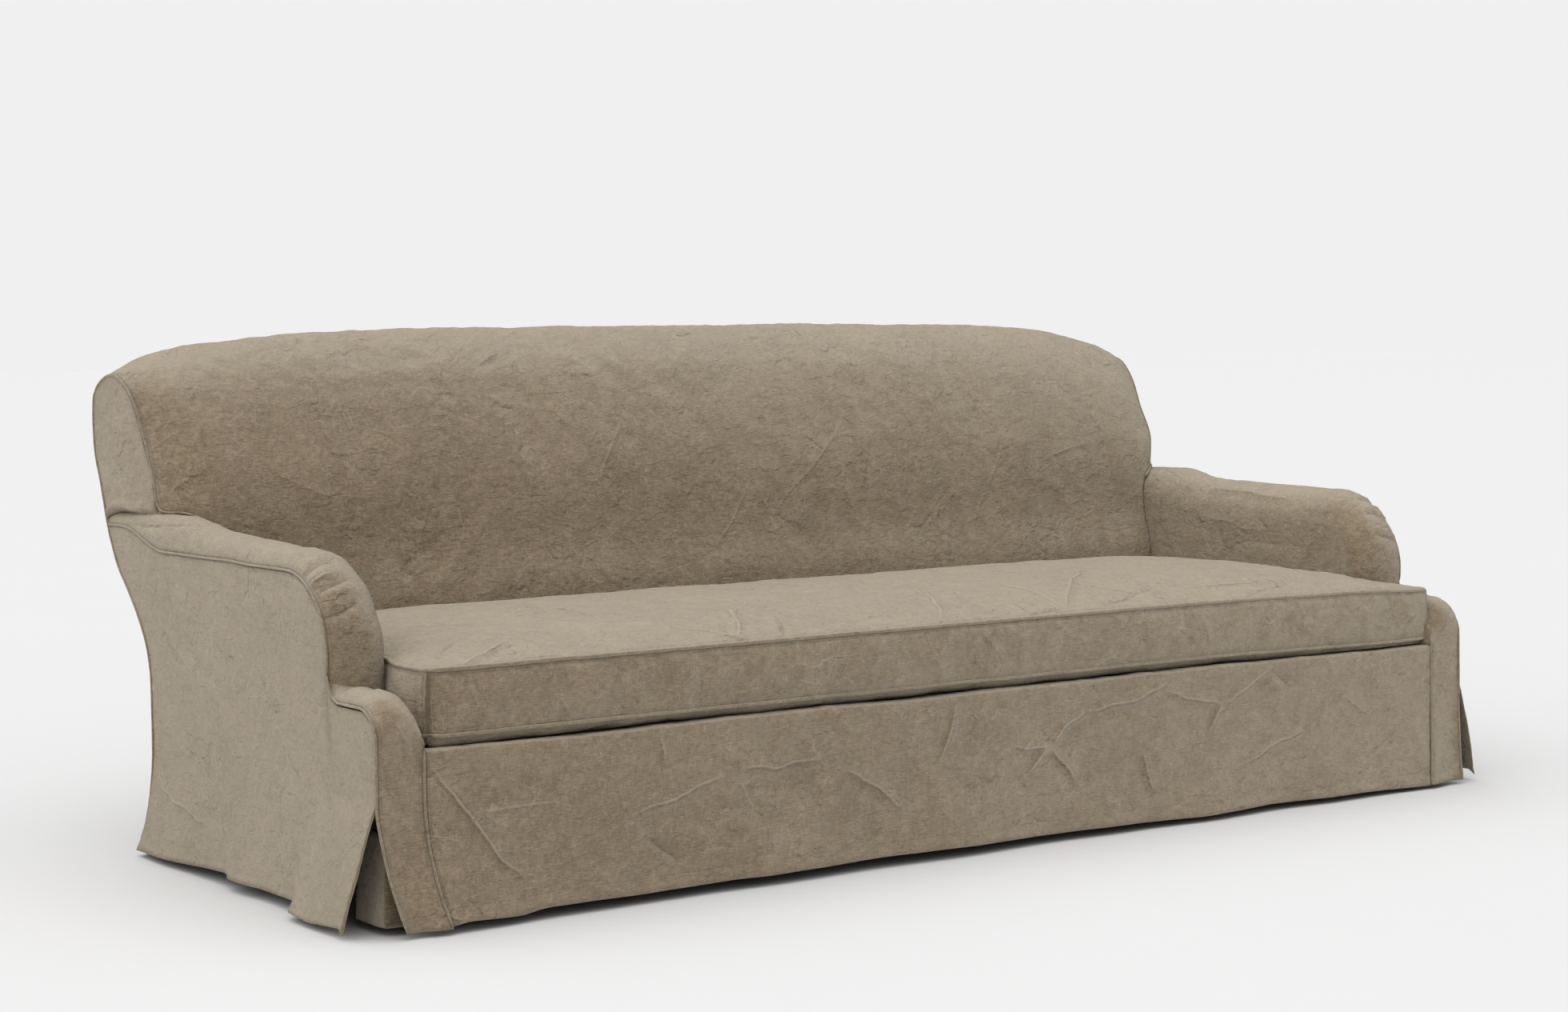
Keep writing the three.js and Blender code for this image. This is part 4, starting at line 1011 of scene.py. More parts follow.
def filled(cloth, pinned):
    """The shell after its filling has pressed it out: cloth simulation, capped and applied."""
    mesh = cloth.mesh("cushion_shell")
    rest = rows_of(mesh)
    for k, point in enumerate(rest):
        rest[k] = point + np.array(noise.noise_vector(Vector(point) * 14)) * 0.0035 * (1 - pinned[k])
    mesh.vertices.foreach_set("co", rest.ravel())
    shell = placed("cushion_shell", mesh)
    group = shell.vertex_groups.new(name="seams")
    for k, weight in enumerate(pinned):
        group.add([k], float(weight), "REPLACE")
    press = shell.modifiers.new("filling", "CLOTH").settings
    press.quality = 4
    press.mass = 0.25
    press.tension_stiffness = 25
    press.compression_stiffness = 25
    press.bending_stiffness = 0.4
    press.use_pressure = True
    press.uniform_pressure_force = 4
    press.vertex_group_mass = "seams"
    press.pin_stiffness = 1
    press.effector_weights.gravity = 0
    for step in range(1, 21):
        bpy.context.scene.frame_set(step)
    solved = shell.evaluated_get(bpy.context.evaluated_depsgraph_get()).to_mesh()
    moved = rows_of(solved) - rest
    shell.evaluated_get(bpy.context.evaluated_depsgraph_get()).to_mesh_clear()
    shell.modifiers.clear()
    reach = np.linalg.norm(moved, axis=1)
    moved *= (FILL_REACH * np.tanh(reach / FILL_REACH) / np.maximum(reach, 1e-9))[:, None]
    bpy.context.scene.frame_set(1)
    mesh.vertices.foreach_set("co", (rest + moved).ravel())
    mesh.update()
    finer = shell.modifiers.new("finer", "SUBSURF")
    finer.levels = finer.render_levels = 2
    fine = bpy.data.meshes.new_from_object(shell.evaluated_get(bpy.context.evaluated_depsgraph_get()))
    bpy.data.objects.remove(shell)
    return fine


def cushion():
    """The bench cushion: filled, crumpled, with welts along its boxed edges."""
    cloth, walls, over, under = cushion_shell()
    base = np.array(cloth.points)
    on_top = np.abs(base[:, 2] - CUSHION_EDGE) < 1e-6
    on_low = np.abs(base[:, 2] - LOWER_WELT) < 1e-6
    edge_x = np.abs(base[:, 0]) > CUSHION_REACH - CUSHION_SEAM_IN - 0.006
    edge_y = (base[:, 1] < CLOTH_SEAT + 0.022) | (base[:, 1] > CUSHION_REAR - 0.022)
    fine = filled(cloth, ((on_top | on_low) & (edge_x | edge_y)).astype(float))
    fine.name = "seat_cushion_linen"
    points = rows_of(fine)

    def line(row):
        picked = points[[cloth.known[key_of(point)] for point in row]]
        return even(picked, steps_for(length_of(row), CLOSE_SPACING))

    loops = {
        "top_front": over[0], "top_rear": over[-1], "top_left": over[:, 0], "top_right": over[:, -1],
        "low_front": under[0], "low_rear": under[-1], "low_left": under[:, 0], "low_right": under[:, -1],
        "corner_left": walls["front"][:, 0], "corner_right": walls["front"][:, -1],
    }
    lines = {label: line(row) for label, row in loops.items()}
    gap, normals = gap_to(lines.values(), points), normals_of(fine)
    height, worn, fold, mark = relief(points, normals, gap, 1.2, Vector((4, 9, 1)), CUSHION_CREASES)
    height -= WELT_GROOVE * bell(gap, 0.0075, 0.0022)
    height = np.where(normals[:, 2] < -0.7, np.minimum(height, 0), height)
    points = slumped(points + normals * height[:, None])
    points[:, 2] = np.maximum(points[:, 2], skirt_level(points[:, 1] + BASE_SHIFT) + 0.0004)
    fine.vertices.foreach_set("co", points.ravel())
    fine.polygons.foreach_set("use_smooth", [True] * len(fine.polygons))
    add_values(fine, gap=gap, worn=worn, hem=[FAR] * len(gap), fold=fold, mark=mark)
    piece = placed("seat_cushion_linen", fine)
    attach(piece, "seat_cushion")
    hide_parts("seat_cushion_cover", "seat_cushion_core")
    sewn = [slumped(row) for label, row in lines.items() if "corner" not in label]
    welts = sewn_welt("seat_cushion_welts", sewn, CUSHION_WELT_RADIUS, "seat_cushion")
    return piece, welts


def slumped(points):
    """The points of the cushion with its right front corner sunk, as a used cushion sits."""
    points = np.array(points, float)
    front = 1 - smooth(points[:, 1] + BASE_SHIFT, 0.05, 0.35)
    droop = CORNER_DROOP * smooth(points[:, 0], 0.95, 1.10) * smooth(points[:, 2], 0.33, 0.40)
    points[:, 2] -= (CORNER_DROP * smooth(points[:, 0], 0.45, 1.08) + droop) * front
    return points


CUSHION_CREASES = [
    ((-0.42, 0.19, 0.43), (-0.52, 0.02, 0.415), 0.0035, 0.008),
    ((-0.58, 0.09, 0.43), (-0.50, 0.015, 0.41), 0.003, 0.007),
    ((-0.38, 0.11, 0.43), (-0.42, 0.015, 0.41), -0.003, 0.007),
    ((-0.30, 0.30, 0.43), (-0.48, 0.10, 0.43), 0.003, 0.011),
    ((0.03, 0.26, 0.43), (-0.09, 0.02, 0.415), 0.003, 0.010),
    ((0.20, 0.24, 0.43), (0.19, 0.03, 0.42), 0.004, 0.008),
    ((0.19, 0.03, 0.42), (0.52, 0.36, 0.43), 0.0035, 0.009),
    ((0.19, 0.03, 0.42), (0.10, 0.012, 0.41), -0.0035, 0.007),
    ((0.28, 0.02, 0.415), (0.48, 0.10, 0.43), -0.003, 0.008),
    ((0.33, 0.14, 0.43), (0.42, 0.06, 0.43), 0.003, 0.007),
    ((0.51, 0.08, 0.43), (0.78, 0.09, 0.43), 0.003, 0.009),
    ((0.62, 0.015, 0.41), (0.80, 0.07, 0.43), -0.0025, 0.007),
    ((-1.02, 0.02, 0.41), (-0.90, 0.10, 0.43), 0.0035, 0.009),
    ((-1.03, 0.10, 0.41), (-0.96, 0.16, 0.43), -0.003, 0.009),
    ((-0.80, 0.30, 0.43), (-0.55, 0.42, 0.43), 0.002, 0.010),
    ((0.68, 0.0, 0.322), (0.75, 0.0, 0.387), -0.0015, 0.005),
    ((-0.87, 0.0, 0.342), (-0.84, 0.0, 0.302), 0.0015, 0.005),
    ((-0.02, 0.0, 0.385), (0.03, 0.0, 0.325), 0.0015, 0.005),
    ((0.50, 0.0, 0.375), (0.53, 0.0, 0.320), 0.0015, 0.005),
]


# Materials

THREAD = 0.0021
# colour of a painted sheen, blended in where the cloth is seen at a grazing angle
GRAZING_SHEEN = (0.525, 0.470, 0.380, 1)
# pale tone of slubs and wear, and of painted highlight on crease edges
PALE_WEAR_AND_HIGHLIGHT = (0.470, 0.400, 0.305, 1)
LINEN_DARK = (0.240, 0.184, 0.119, 1)
LINEN_LIGHT = (0.332, 0.261, 0.176, 1)
# linen darkened as painted shade, for the kick pleats deep in their slits
PLEAT_SHADE_DARK = (0.120, 0.088, 0.052, 1)
PLEAT_SHADE_LIGHT = (0.165, 0.124, 0.076, 1)
STITCH_FROM_WELT = 0.0088
STITCH_WIDTH = 0.0009


class Graph:
    """Short hand for the nodes of one material, or of the world."""

    def __init__(self, owner):
        owner.use_nodes = True
        self.tree = owner.node_tree
        self.tree.nodes.clear()

    def node(self, kind, sockets=None, **settings):
        """A node with its settings, and with values or links on its input sockets."""
        made = self.tree.nodes.new(kind)
        for key, value in settings.items():
            setattr(made, key, value)
        for key, given in (sockets or {}).items():
            if isinstance(given, bpy.types.NodeSocket):
                self.tree.links.new(given, made.inputs[key])
            elif given is not None:
                made.inputs[key].default_value = given
        return made

    def value(self, operation, *given):
        return self.node("ShaderNodeMath", dict(enumerate(given)), operation=operation).outputs[0]

    def times(self, first, *others):
        """The product of several values."""
        for other in others:
            first = self.value("MULTIPLY", first, other)
        return first

    def place(self):
        return self.node("ShaderNodeTexCoord").outputs["Object"]

    def parts(self, where):
        return self.node("ShaderNodeSeparateXYZ", {0: where}).outputs

    def read(self, label):
        """A value that the cloth carries at its vertices."""
        return self.node("ShaderNodeAttribute", attribute_name=label).outputs["Fac"]

    def noise(self, where, scale, detail=3.0, rough=0.55, twist=0.0):
        sockets = {"Vector": where, "Scale": scale, "Detail": detail, "Roughness": rough,
                   "Distortion": twist}
        return self.node("ShaderNodeTexNoise", sockets).outputs["Fac"]

    def bent(self, where, scale, reach):
        """The place moved about by a noise."""
        shift = self.node("ShaderNodeTexNoise", {"Vector": where, "Scale": scale, "Detail": 3.0})
        sockets = {0: shift.outputs["Color"], 1: (reach, reach, reach), 2: where}
        return self.node("ShaderNodeVectorMath", sockets, operation="MULTIPLY_ADD").outputs["Vector"]

    def facets(self, where, scale):
        """Distance in metres to the nearest edge between crumpled facets."""
        sockets = {"Vector": where, "Scale": scale}
        made = self.node("ShaderNodeTexVoronoi", sockets, feature="DISTANCE_TO_EDGE")
        return self.value("DIVIDE", made.outputs["Distance"], scale)

    def scaled(self, where, scale):
        return self.node("ShaderNodeMapping", {"Vector": where, "Scale": scale}).outputs["Vector"]

    def ranged(self, given, low, high, start=0.0, end=1.0):
        sockets = {"Value": given, "From Min": low, "From Max": high, "To Min": start, "To Max": end}
        return self.node("ShaderNodeMapRange", sockets, interpolation_type="SMOOTHSTEP").outputs["Result"]

    def line(self, away, start, end):
        """One on a line, falling to nothing at a distance from it."""
        return self.ranged(away, start, end, 1.0, 0.0)

    def blended(self, share, first, second):
        sockets = {"Factor": share, "A": first, "B": second}
        return self.node("ShaderNodeMix", sockets, data_type="RGBA").outputs["Result"]

    def bump(self, height, strength, distance, below=None):
        sockets = {"Strength": strength, "Distance": distance, "Height": height, "Normal": below}
        return self.node("ShaderNodeBump", sockets).outputs["Normal"]

    def weave(self, where, pitch):
        """Threads that cross at a pitch in metres."""
        across, along = [self.value("SINE", self.times(part, math.tau / pitch))
                         for part in self.parts(where)[:2]]
        return self.times(across, along)

    def surface(self, colour, rough, normal=None, **constants):
        sockets = {"Base Color": colour, "Roughness": rough, "Normal": normal}
        shader = self.node("ShaderNodeBsdfPrincipled", sockets)
        for key, value in constants.items():
            shader.inputs[key.replace("_", " ")].default_value = value
        self.node("ShaderNodeOutputMaterial", {"Surface": shader.outputs[0]})


def toned(colour, factor):
    return (*[min(part * factor, 1) for part in colour[:3]], 1)


def linen(name, dark, light, seed):
    """Stonewashed linen: plain weave with slubs, washed tones, creases drawn pale for rubbing and painted
    highlight and dark as painted shade, painted shade beside the welts, a painted sheen and stitched seams.
    """
    made = bpy.data.materials.new(name)
    g = Graph(made)
    place = g.place()
    flat = g.node("ShaderNodeUVMap", uv_map="cloth").outputs["UV"]
    gap, worn, hem, fold, mark = [g.read(label) for label in ("gap", "worn", "hem", "fold", "mark")]

    # washed tones, from broad to fine
    broad = g.noise(place, 5.5 + seed)
    cloud = g.noise(place, 27 + seed, 4.0, 0.6, 0.6)
    mottle = g.noise(place, 120, 5.0, 0.7)
    tone = g.value("MULTIPLY_ADD", broad, 0.20, g.times(mottle, 0.58))
    tone = g.value("MULTIPLY_ADD", cloud, 0.22, tone)
    colour = g.blended(g.ranged(tone, 0.40, 0.60), dark, light)

    # uneven threads in both directions
    weft = g.ranged(g.noise(g.scaled(flat, (1.0, 9.0, 1.0)), 62, 4.0, 0.7), 0.40, 0.66)
    warp = g.ranged(g.noise(g.scaled(flat, (9.0, 1.0, 1.0)), 58, 4.0, 0.7), 0.42, 0.68)
    slubs = g.value("MULTIPLY_ADD", weft, 0.6, g.times(warp, 0.4))
    colour = g.blended(g.ranged(slubs, 0.0, 0.6, 0.34, 0.0), colour, toned(dark, 0.55))
    colour = g.blended(g.ranged(slubs, 0.40, 1.0, 0.0, 0.42), colour, PALE_WEAR_AND_HIGHLIGHT)

    # crumpled facets: raised edges drawn pale for wear and painted highlight, sunk edges drawn dark as
    # painted shade
    bent = g.bent(g.bent(place, 9, 0.060), 34, 0.016)
    large, small = g.facets(bent, 13), g.facets(bent, 43)
    large_shown = g.ranged(g.noise(place, 7, 2.0), 0.47, 0.60)
    small_shown = g.ranged(g.noise(place, 14), 0.38, 0.60)
    upward = g.ranged(g.noise(place, 19, 2.0), 0.44, 0.56, -1.0, 1.0)
    large_line = g.times(g.line(large, 0.0002, 0.0016), large_shown)
    small_line = g.times(g.line(small, 0.0001, 0.0011), small_shown, 0.75)
    line = g.value("MAXIMUM", large_line, small_line)
    pale_line = g.times(line, g.value("MAXIMUM", upward, 0.0), 0.42)
    dark_line = g.times(line, g.value("MAXIMUM", g.times(upward, -1.0), 0.0), 0.26)
    colour = g.blended(pale_line, colour, PALE_WEAR_AND_HIGHLIGHT)
    colour = g.blended(dark_line, colour, toned(dark, 0.6))
    # the crinkles: pale where they rise, for wear and painted highlight, and painted shade where they sink
    colour = g.blended(g.ranged(worn, 0.05, 0.50, 0.0, 0.12), colour, PALE_WEAR_AND_HIGHLIGHT)
    colour = g.blended(g.ranged(worn, -0.50, -0.05, 0.09, 0.0), colour, toned(dark, 0.6))

    # long creases: a pale edge for wear and painted highlight with painted shade in the valley beside it,
    # or a dark line of painted shade where one is sunk
    away = g.value("ABSOLUTE", fold)
    edge = g.line(away, 0.0008, 0.0030)
    valley = g.line(g.value("ABSOLUTE", g.value("SUBTRACT", fold, 0.0050)), 0.0, 0.0045)
    raised = g.value("MAXIMUM", mark, 0.0)
    sunk = g.value("MAXIMUM", g.times(mark, -1.0), 0.0)
    colour = g.blended(g.times(raised, edge, 0.55), colour, PALE_WEAR_AND_HIGHLIGHT)
    colour = g.blended(g.times(raised, valley, 0.38), colour, toned(dark, 0.55))
    colour = g.blended(g.times(sunk, edge, 0.62), colour, toned(dark, 0.40))

    # painted shade in dark lines beside the welts, and stitches beside them and along the hem
    beside = g.line(gap, 0.0030, 0.0080)
    colour = g.blended(g.times(beside, 0.62), colour, toned(dark, 0.35))
    dashes = g.ranged(g.noise(place, 240, 0.0), 0.40, 0.50)
    stitched = g.value("MAXIMUM", g.value("COMPARE", gap, STITCH_FROM_WELT, STITCH_WIDTH),
                       g.value("COMPARE", hem, HEM_WIDTH, STITCH_WIDTH))
    colour = g.blended(g.times(stitched, dashes, 0.40), colour, toned(dark, 0.50))

    # painted sheen: the colour turns paler where the cloth is seen along its surface
    facing = g.node("ShaderNodeLayerWeight", {"Blend": 0.5}).outputs["Facing"]
    colour = g.blended(g.ranged(facing, 0.05, 0.50, 0.0, 0.44), colour, GRAZING_SHEEN)

    # relief, from the crepe of the washing down to the threads
    threads = g.value("MULTIPLY_ADD", slubs, 0.9, g.times(g.weave(flat, THREAD), 0.30))
    creped = g.noise(g.scaled(place, (1.0, 1.0, 2.2)), 27, 4.0, 0.6, 0.9)
    normal = g.bump(creped, 0.85, 0.0064)
    normal = g.bump(g.noise(place, 62, 5.0, 0.62, 0.8), 0.85, 0.0042, normal)
    broken = g.times(g.value("MINIMUM", large, 0.012), -0.10, large_shown)
    broken = g.value("MULTIPLY_ADD", g.times(g.value("MINIMUM", small, 0.005), -0.21), small_shown, broken)
    normal = g.bump(g.times(broken, upward), 1.0, 1.0, normal)
    normal = g.bump(g.times(g.line(away, 0.0, 0.0065), mark), 1.0, 0.0018, normal)
    normal = g.bump(threads, 0.80, 0.00070, normal)
    g.surface(colour, g.ranged(mottle, 0.3, 0.7, 0.88, 0.98), normal, Sheen_Weight=0.12,
              Sheen_Roughness=0.45, Sheen_Tint=(0.90, 0.89, 0.86, 1), Specular_IOR_Level=0.18)
    return made


def wood(name, dark, light, gloss):
    made = bpy.data.materials.new(name)
    g = Graph(made)
    place = g.place()
    grain = g.noise(g.scaled(place, (9.0, 9.0, 0.9)), 9, 6.0, 0.6, 1.2)
    pores = g.noise(g.scaled(place, (30.0, 30.0, 1.5)), 22, 3.0, 0.6)
    colour = g.blended(g.ranged(grain, 0.35, 0.65), dark, light)
    colour = g.blended(g.ranged(pores, 0.55, 0.75, 0.0, 0.35), colour, toned(dark, 0.5))
    g.surface(colour, g.ranged(grain, 0.3, 0.7, gloss, gloss + 0.15), g.bump(pores, 0.4, 0.0006))
    return made


def woven(name, dark, light, pitch):
    made = bpy.data.materials.new(name)
    g = Graph(made)
    place = g.place()
    weave = g.weave(place, pitch)
    tone = g.value("MULTIPLY_ADD", weave, 0.2, g.noise(place, 120, 4.0))
    colour = g.blended(g.ranged(tone, 0.3, 0.75), dark, light)
    g.surface(colour, 0.85, g.bump(weave, 0.5, pitch * 0.2), Sheen_Weight=0.15)
    return made


def moulded(name, dark, light, rough):
    made = bpy.data.materials.new(name)
    g = Graph(made)
    place = g.place()
    scuffs = g.noise(place, 30)
    colour = g.blended(g.ranged(scuffs, 0.35, 0.7), dark, light)
    spots = g.bump(g.noise(place, 240, 4.0), 0.3, 0.0003)
    g.surface(colour, g.ranged(scuffs, 0.3, 0.7, rough, rough + 0.2), spots)
    return made


def dress_in(objects, made):
    for thing in objects:
        thing.data.materials.clear()
        thing.data.materials.append(made)


def cad_materials():
    """Gives the pieces under the cloth their materials, by how their names end."""
    hard = wood("hardwood frame", (0.30, 0.19, 0.10, 1), (0.52, 0.36, 0.21, 1), 0.55)
    by_ending = {
        "_leg": wood("stained leg wood", (0.010, 0.006, 0.004, 1), (0.026, 0.016, 0.010, 1), 0.35),
        "_glide": moulded("glide plastic", (0.015, 0.015, 0.015, 1), (0.05, 0.05, 0.05, 1), 0.35),
        "_webbing": woven("jute webbing", (0.30, 0.22, 0.12, 1), (0.52, 0.42, 0.26, 1), 0.004),
        "dust_cover": woven("dust cloth", (0.012, 0.012, 0.013, 1), (0.045, 0.045, 0.048, 1), 0.0015),
        "_pad": woven("wadding cover", (0.55, 0.52, 0.46, 1), (0.78, 0.75, 0.68, 1), 0.003),
        "_zip": woven("zip tape", (0.13, 0.10, 0.07, 1), (0.24, 0.19, 0.14, 1), 0.0016),
    }
    for name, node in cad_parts.items():
        fitting = [made for ending, made in by_ending.items() if name.endswith(ending)]
        dress_in([node], fitting[0] if fitting else hard)


# Room, light and camera

FLOOR_TONE = (0.712, 0.715, 0.723, 1)
FLOOR_REACH = 60.0
SKY_CAMERA = 0.871
SKY_LOW = 0.16
SKY_HIGH = 1.78


def room():
    made = bpy.data.materials.new("studio floor")
    g = Graph(made)
    place = g.place()
    colour = g.blended(g.noise(place, 1.3), FLOOR_TONE, toned(FLOOR_TONE, 0.985))
    g.surface(colour, g.ranged(g.noise(place, 9), 0.3, 0.7, 0.85, 0.95), Specular_IOR_Level=0.1)
    mesh = bpy.data.meshes.new("studio_floor")
    corners = [(x * FLOOR_REACH, y * FLOOR_REACH, 0) for x, y in ((-1, -1), (1, -1), (1, 1), (-1, 1))]
    mesh.from_pydata(corners, [], [(0, 1, 2, 3)])
    floor = placed("studio_floor", mesh)
    dress_in([floor], made)


def sky():
    """A soft overhead light, and a plain pale background where the camera looks past the floor."""
    world = bpy.data.worlds.new("studio")
    bpy.context.scene.world = world
    g = Graph(world)
    parts = g.parts(g.node("ShaderNodeTexCoord").outputs["Generated"])
    lean = g.value("MULTIPLY_ADD", parts[0], -0.30, g.times(parts[1], -0.13))
    bright = g.ranged(g.value("ADD", parts[2], lean), 0.10, 0.95, SKY_LOW, SKY_HIGH)
    light = g.node("ShaderNodeBackground", {"Color": (1.0, 0.995, 0.985, 1), "Strength": bright})
    plain = g.node("ShaderNodeBackground", {"Color": (SKY_CAMERA, SKY_CAMERA, SKY_CAMERA, 1)})
    path = g.node("ShaderNodeLightPath").outputs
    seen = g.value("ADD", path["Is Camera Ray"], path["Is Glossy Ray"])
    seen = g.value("MINIMUM", g.value("ADD", seen, path["Is Transmission Ray"]), 1.0)
    both = g.node("ShaderNodeMixShader", {0: seen, 1: light.outputs[0], 2: plain.outputs[0]})
    g.node("ShaderNodeOutputWorld", {"Surface": both.outputs[0]})


CAMERA_PLACE = (-3.1402, -4.2857, 0.9113)
CAMERA_YAW = 35.58
CAMERA_PITCH = 3.61
CAMERA_ROLL = -0.52
CAMERA_LENS = 65.46


def camera():
    lens = bpy.data.cameras.new("photograph")
    lens.sensor_width, lens.lens = 36.0, CAMERA_LENS
    lens.clip_end = 200
    made = placed("photograph", lens)
    made.location = CAMERA_PLACE
    turn = Matrix.Rotation(-math.radians(CAMERA_YAW), 3, "Z")
    tilt = Matrix.Rotation(math.radians(90 - CAMERA_PITCH), 3, "X")
    roll = Matrix.Rotation(math.radians(CAMERA_ROLL), 3, "Z")
    made.rotation_euler = (turn @ tilt @ roll).to_euler()
    bpy.context.scene.camera = made
    bpy.context.scene.view_settings.view_transform = "Standard"


# Putting it together

def build():
    back = inside_back()
    gussets = {side: gusset(side) for side in (-1, 1)}
    outside = outside_back()
    arms = {side: arm_cover(side) for side in (-1, 1)}
    strips = {side: ledge_strip(side) for side in (-1, 1)}
    skirt = front_skirt()
    panels = {side: outside_panel(side) for side in (-1, 1)}
    pleats = {side: kick_pleat(side) for side in (-1, 1)}
    seat = deck()

    made, shaded = [], []
    piece = dress("inside_back_linen", back, ["inside_back_cover", "back_pad"], 1.1,
                  BACK_CREASES + WING_CREASES[-1] + WING_CREASES[1])
    made.append(piece)
    piece = dress("outside_back_linen", outside, ["outside_back_panel"], 0.9)
    made.append(piece)
    piece = dress("front_skirt_linen", skirt, ["front_skirt", "front_edge_pad"], 0.9, SKIRT_CREASES)
    made.append(piece)
    piece = dress("deck_linen", seat, ["deck_cloth"], 0.0, thickness=0.0008)
    made.append(piece)
    for side, label in ((-1, "left"), (1, "right")):
        piece = dress(f"{label}_gusset_linen", gussets[side], [f"{label}_back_gusset"], 0.8)
        made.append(piece)
        piece = dress(f"{label}_arm_linen", arms[side], [f"{label}_arm_cover", f"{label}_arm_pad"],
                      1.0, ARM_CREASES[side])
        made.append(piece)
        piece = dress(f"{label}_ledge_linen", strips[side],
                      [f"{label}_ledge_strip", f"{label}_ledge_pad"], 1.0, LEDGE_CREASES[side])
        made.append(piece)
        piece = dress(f"{label}_outside_linen", panels[side], [f"{label}_outside_panel"],
                      1.0, PANEL_CREASES[side])
        made.append(piece)
        piece = dress(f"{label}_kick_pleat_linen", pleats[side], [f"{label}_kick_pleat"], 0.5)
        shaded.append(piece)
    welts = sewn_welt("cover_welts", [drift(line) for line in seams.values()], WELT_RADIUS, "sofa_body")
    made.append(welts)
    dress_in(made, linen("washed linen", LINEN_DARK, LINEN_LIGHT, 0.0))
    # the kick pleats are dressed in linen darkened as painted shade
    dress_in(shaded, linen("linen in painted shade", PLEAT_SHADE_DARK, PLEAT_SHADE_LIGHT, 0.2))
    dress_in(cushion(), linen("washed cushion linen", LINEN_DARK, LINEN_LIGHT, 0.3))
    cad_materials()


def on_front(creases):
    """Creases of the skirt's front, whose ends are given by X and Z."""
    return [((a[0], -0.005, a[1]), (b[0], -0.005, b[1]), rise, width) for a, b, rise, width in creases]


def both_sides(creases):
    """Creases given for the right side, for each side."""
    return {side: [((side * a[0], *a[1:]), (side * b[0], *b[1:]), rise, width)
                   for a, b, rise, width in creases] for side in (-1, 1)}


BACK_CREASES = [
    ((-0.508, 0.892, 0.850), (-0.447, 0.892, 0.890), 0.0025, 0.006),
    ((-0.30, 0.80, 0.62), (-0.22, 0.83, 0.74), 0.002, 0.006),
    ((0.10, 0.78, 0.55), (0.30, 0.82, 0.72), 0.002, 0.007),
    ((0.60, 0.77, 0.50), (0.72, 0.82, 0.70), 0.0015, 0.006),
    ((0.80, 0.80, 0.62), (0.93, 0.80, 0.66), 0.002, 0.006),
    ((-0.95, 0.80, 0.66), (-0.84, 0.80, 0.61), 0.0013, 0.008),
    ((-0.70, 0.78, 0.50), (-0.66, 0.80, 0.60), 0.0012, 0.006),
    ((-0.05, 0.78, 0.48), (0.04, 0.80, 0.60), 0.002, 0.007),
    ((0.42, 0.78, 0.46), (0.55, 0.80, 0.58), -0.0015, 0.006),
]
WING_CREASES = both_sides([
    ((1.158, 0.83, 0.640), (1.095, 0.82, 0.668), 0.0016, 0.010),
    ((1.160, 0.85, 0.690), (1.120, 0.84, 0.700), -0.0011, 0.007),
    ((1.163, 0.87, 0.716), (1.110, 0.85, 0.748), 0.0014, 0.009),
    ((1.168, 0.91, 0.775), (1.125, 0.90, 0.792), -0.0010, 0.007),
])
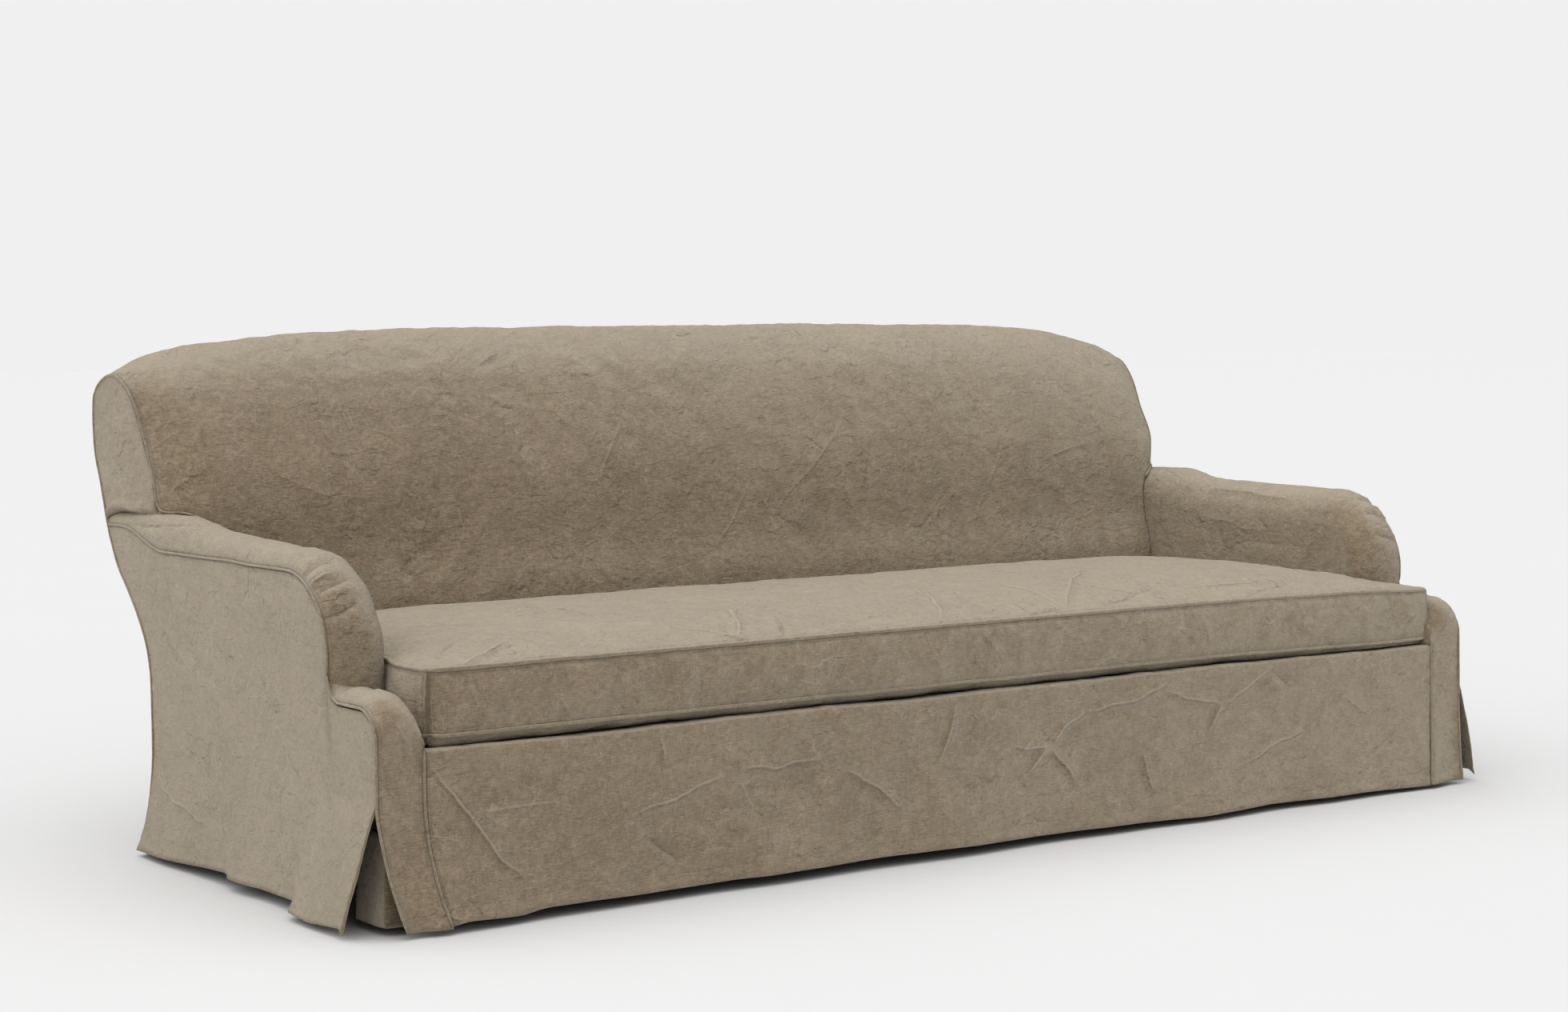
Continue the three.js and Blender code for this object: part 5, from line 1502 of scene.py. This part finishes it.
SKIRT_CREASES = on_front([
    ((-1.103, 0.254), (-0.940, 0.058), 0.0035, 0.0065),
    ((-0.684, 0.268), (-0.680, 0.225), 0.0025, 0.006),
    ((-0.756, 0.143), (-0.560, 0.185), 0.003, 0.013),
    ((-0.540, 0.190), (-0.364, 0.194), 0.003, 0.013),
    ((-0.727, 0.102), (-0.652, 0.061), -0.003, 0.007),
    ((-1.018, 0.184), (-0.876, 0.181), 0.002, 0.006),
    ((-0.318, 0.177), (-0.200, 0.097), 0.003, 0.009),
    ((-0.078, 0.263), (-0.113, 0.170), 0.003, 0.007),
    ((0.047, 0.174), (0.130, 0.177), 0.004, 0.008),
    ((0.130, 0.177), (0.214, 0.223), 0.0045, 0.008),
    ((0.214, 0.223), (0.407, 0.250), 0.0035, 0.009),
    ((0.130, 0.174), (0.195, 0.096), 0.004, 0.008),
    ((0.130, 0.177), (0.078, 0.129), 0.004, 0.008),
    ((0.407, 0.243), (0.547, 0.209), 0.0035, 0.008),
    ((0.547, 0.209), (0.670, 0.268), 0.0035, 0.007),
    ((0.670, 0.268), (0.717, 0.232), -0.003, 0.007),
    ((0.547, 0.209), (0.510, 0.154), 0.003, 0.007),
    ((0.348, 0.146), (0.367, 0.071), 0.003, 0.007),
    ((0.600, 0.100), (0.760, 0.150), 0.003, 0.010),
    ((0.860, 0.205), (0.930, 0.150), 0.002, 0.007),
    ((0.930, 0.080), (1.010, 0.120), -0.002, 0.006),
])
LEDGE_CREASES = both_sides([
    ((1.162, 0.0, 0.328), (1.130, 0.0, 0.289), 0.0018, 0.005),
    ((1.172, 0.05, 0.365), (1.135, 0.10, 0.365), -0.0018, 0.006),
])
ARM_CREASES = both_sides([
    ((1.190, 0.222, 0.528), (1.140, 0.212, 0.566), -0.0050, 0.0060),
    ((1.190, 0.186, 0.505), (1.128, 0.177, 0.540), -0.0050, 0.0060),
    ((1.190, 0.162, 0.470), (1.130, 0.160, 0.492), -0.0045, 0.0060),
    ((1.190, 0.204, 0.518), (1.150, 0.190, 0.552), 0.0035, 0.0060),
    ((1.186, 0.93, 0.574), (1.166, 0.66, 0.588), -0.0045, 0.0070),
    ((1.085, 0.64, 0.500), (1.082, 0.40, 0.480), 0.0020, 0.0090),
    ((1.085, 0.52, 0.450), (1.082, 0.30, 0.455), -0.0020, 0.0080),
    ((1.110, 0.60, 0.560), (1.100, 0.36, 0.545), 0.0020, 0.0090),
])
PANEL_CREASES = both_sides([
    ((1.194, 0.805, 0.141), (1.210, 0.596, 0.088), 0.0030, 0.008),
    ((1.194, 0.325, 0.095), (1.210, 0.288, 0.032), 0.0030, 0.008),
    ((1.194, 0.550, 0.290), (1.194, 0.480, 0.200), 0.0020, 0.008),
    ((1.194, 0.780, 0.420), (1.194, 0.640, 0.330), 0.0015, 0.007),
    ((1.194, 0.420, 0.420), (1.194, 0.330, 0.300), 0.0015, 0.007),
])


build()
room()
sky()
camera()
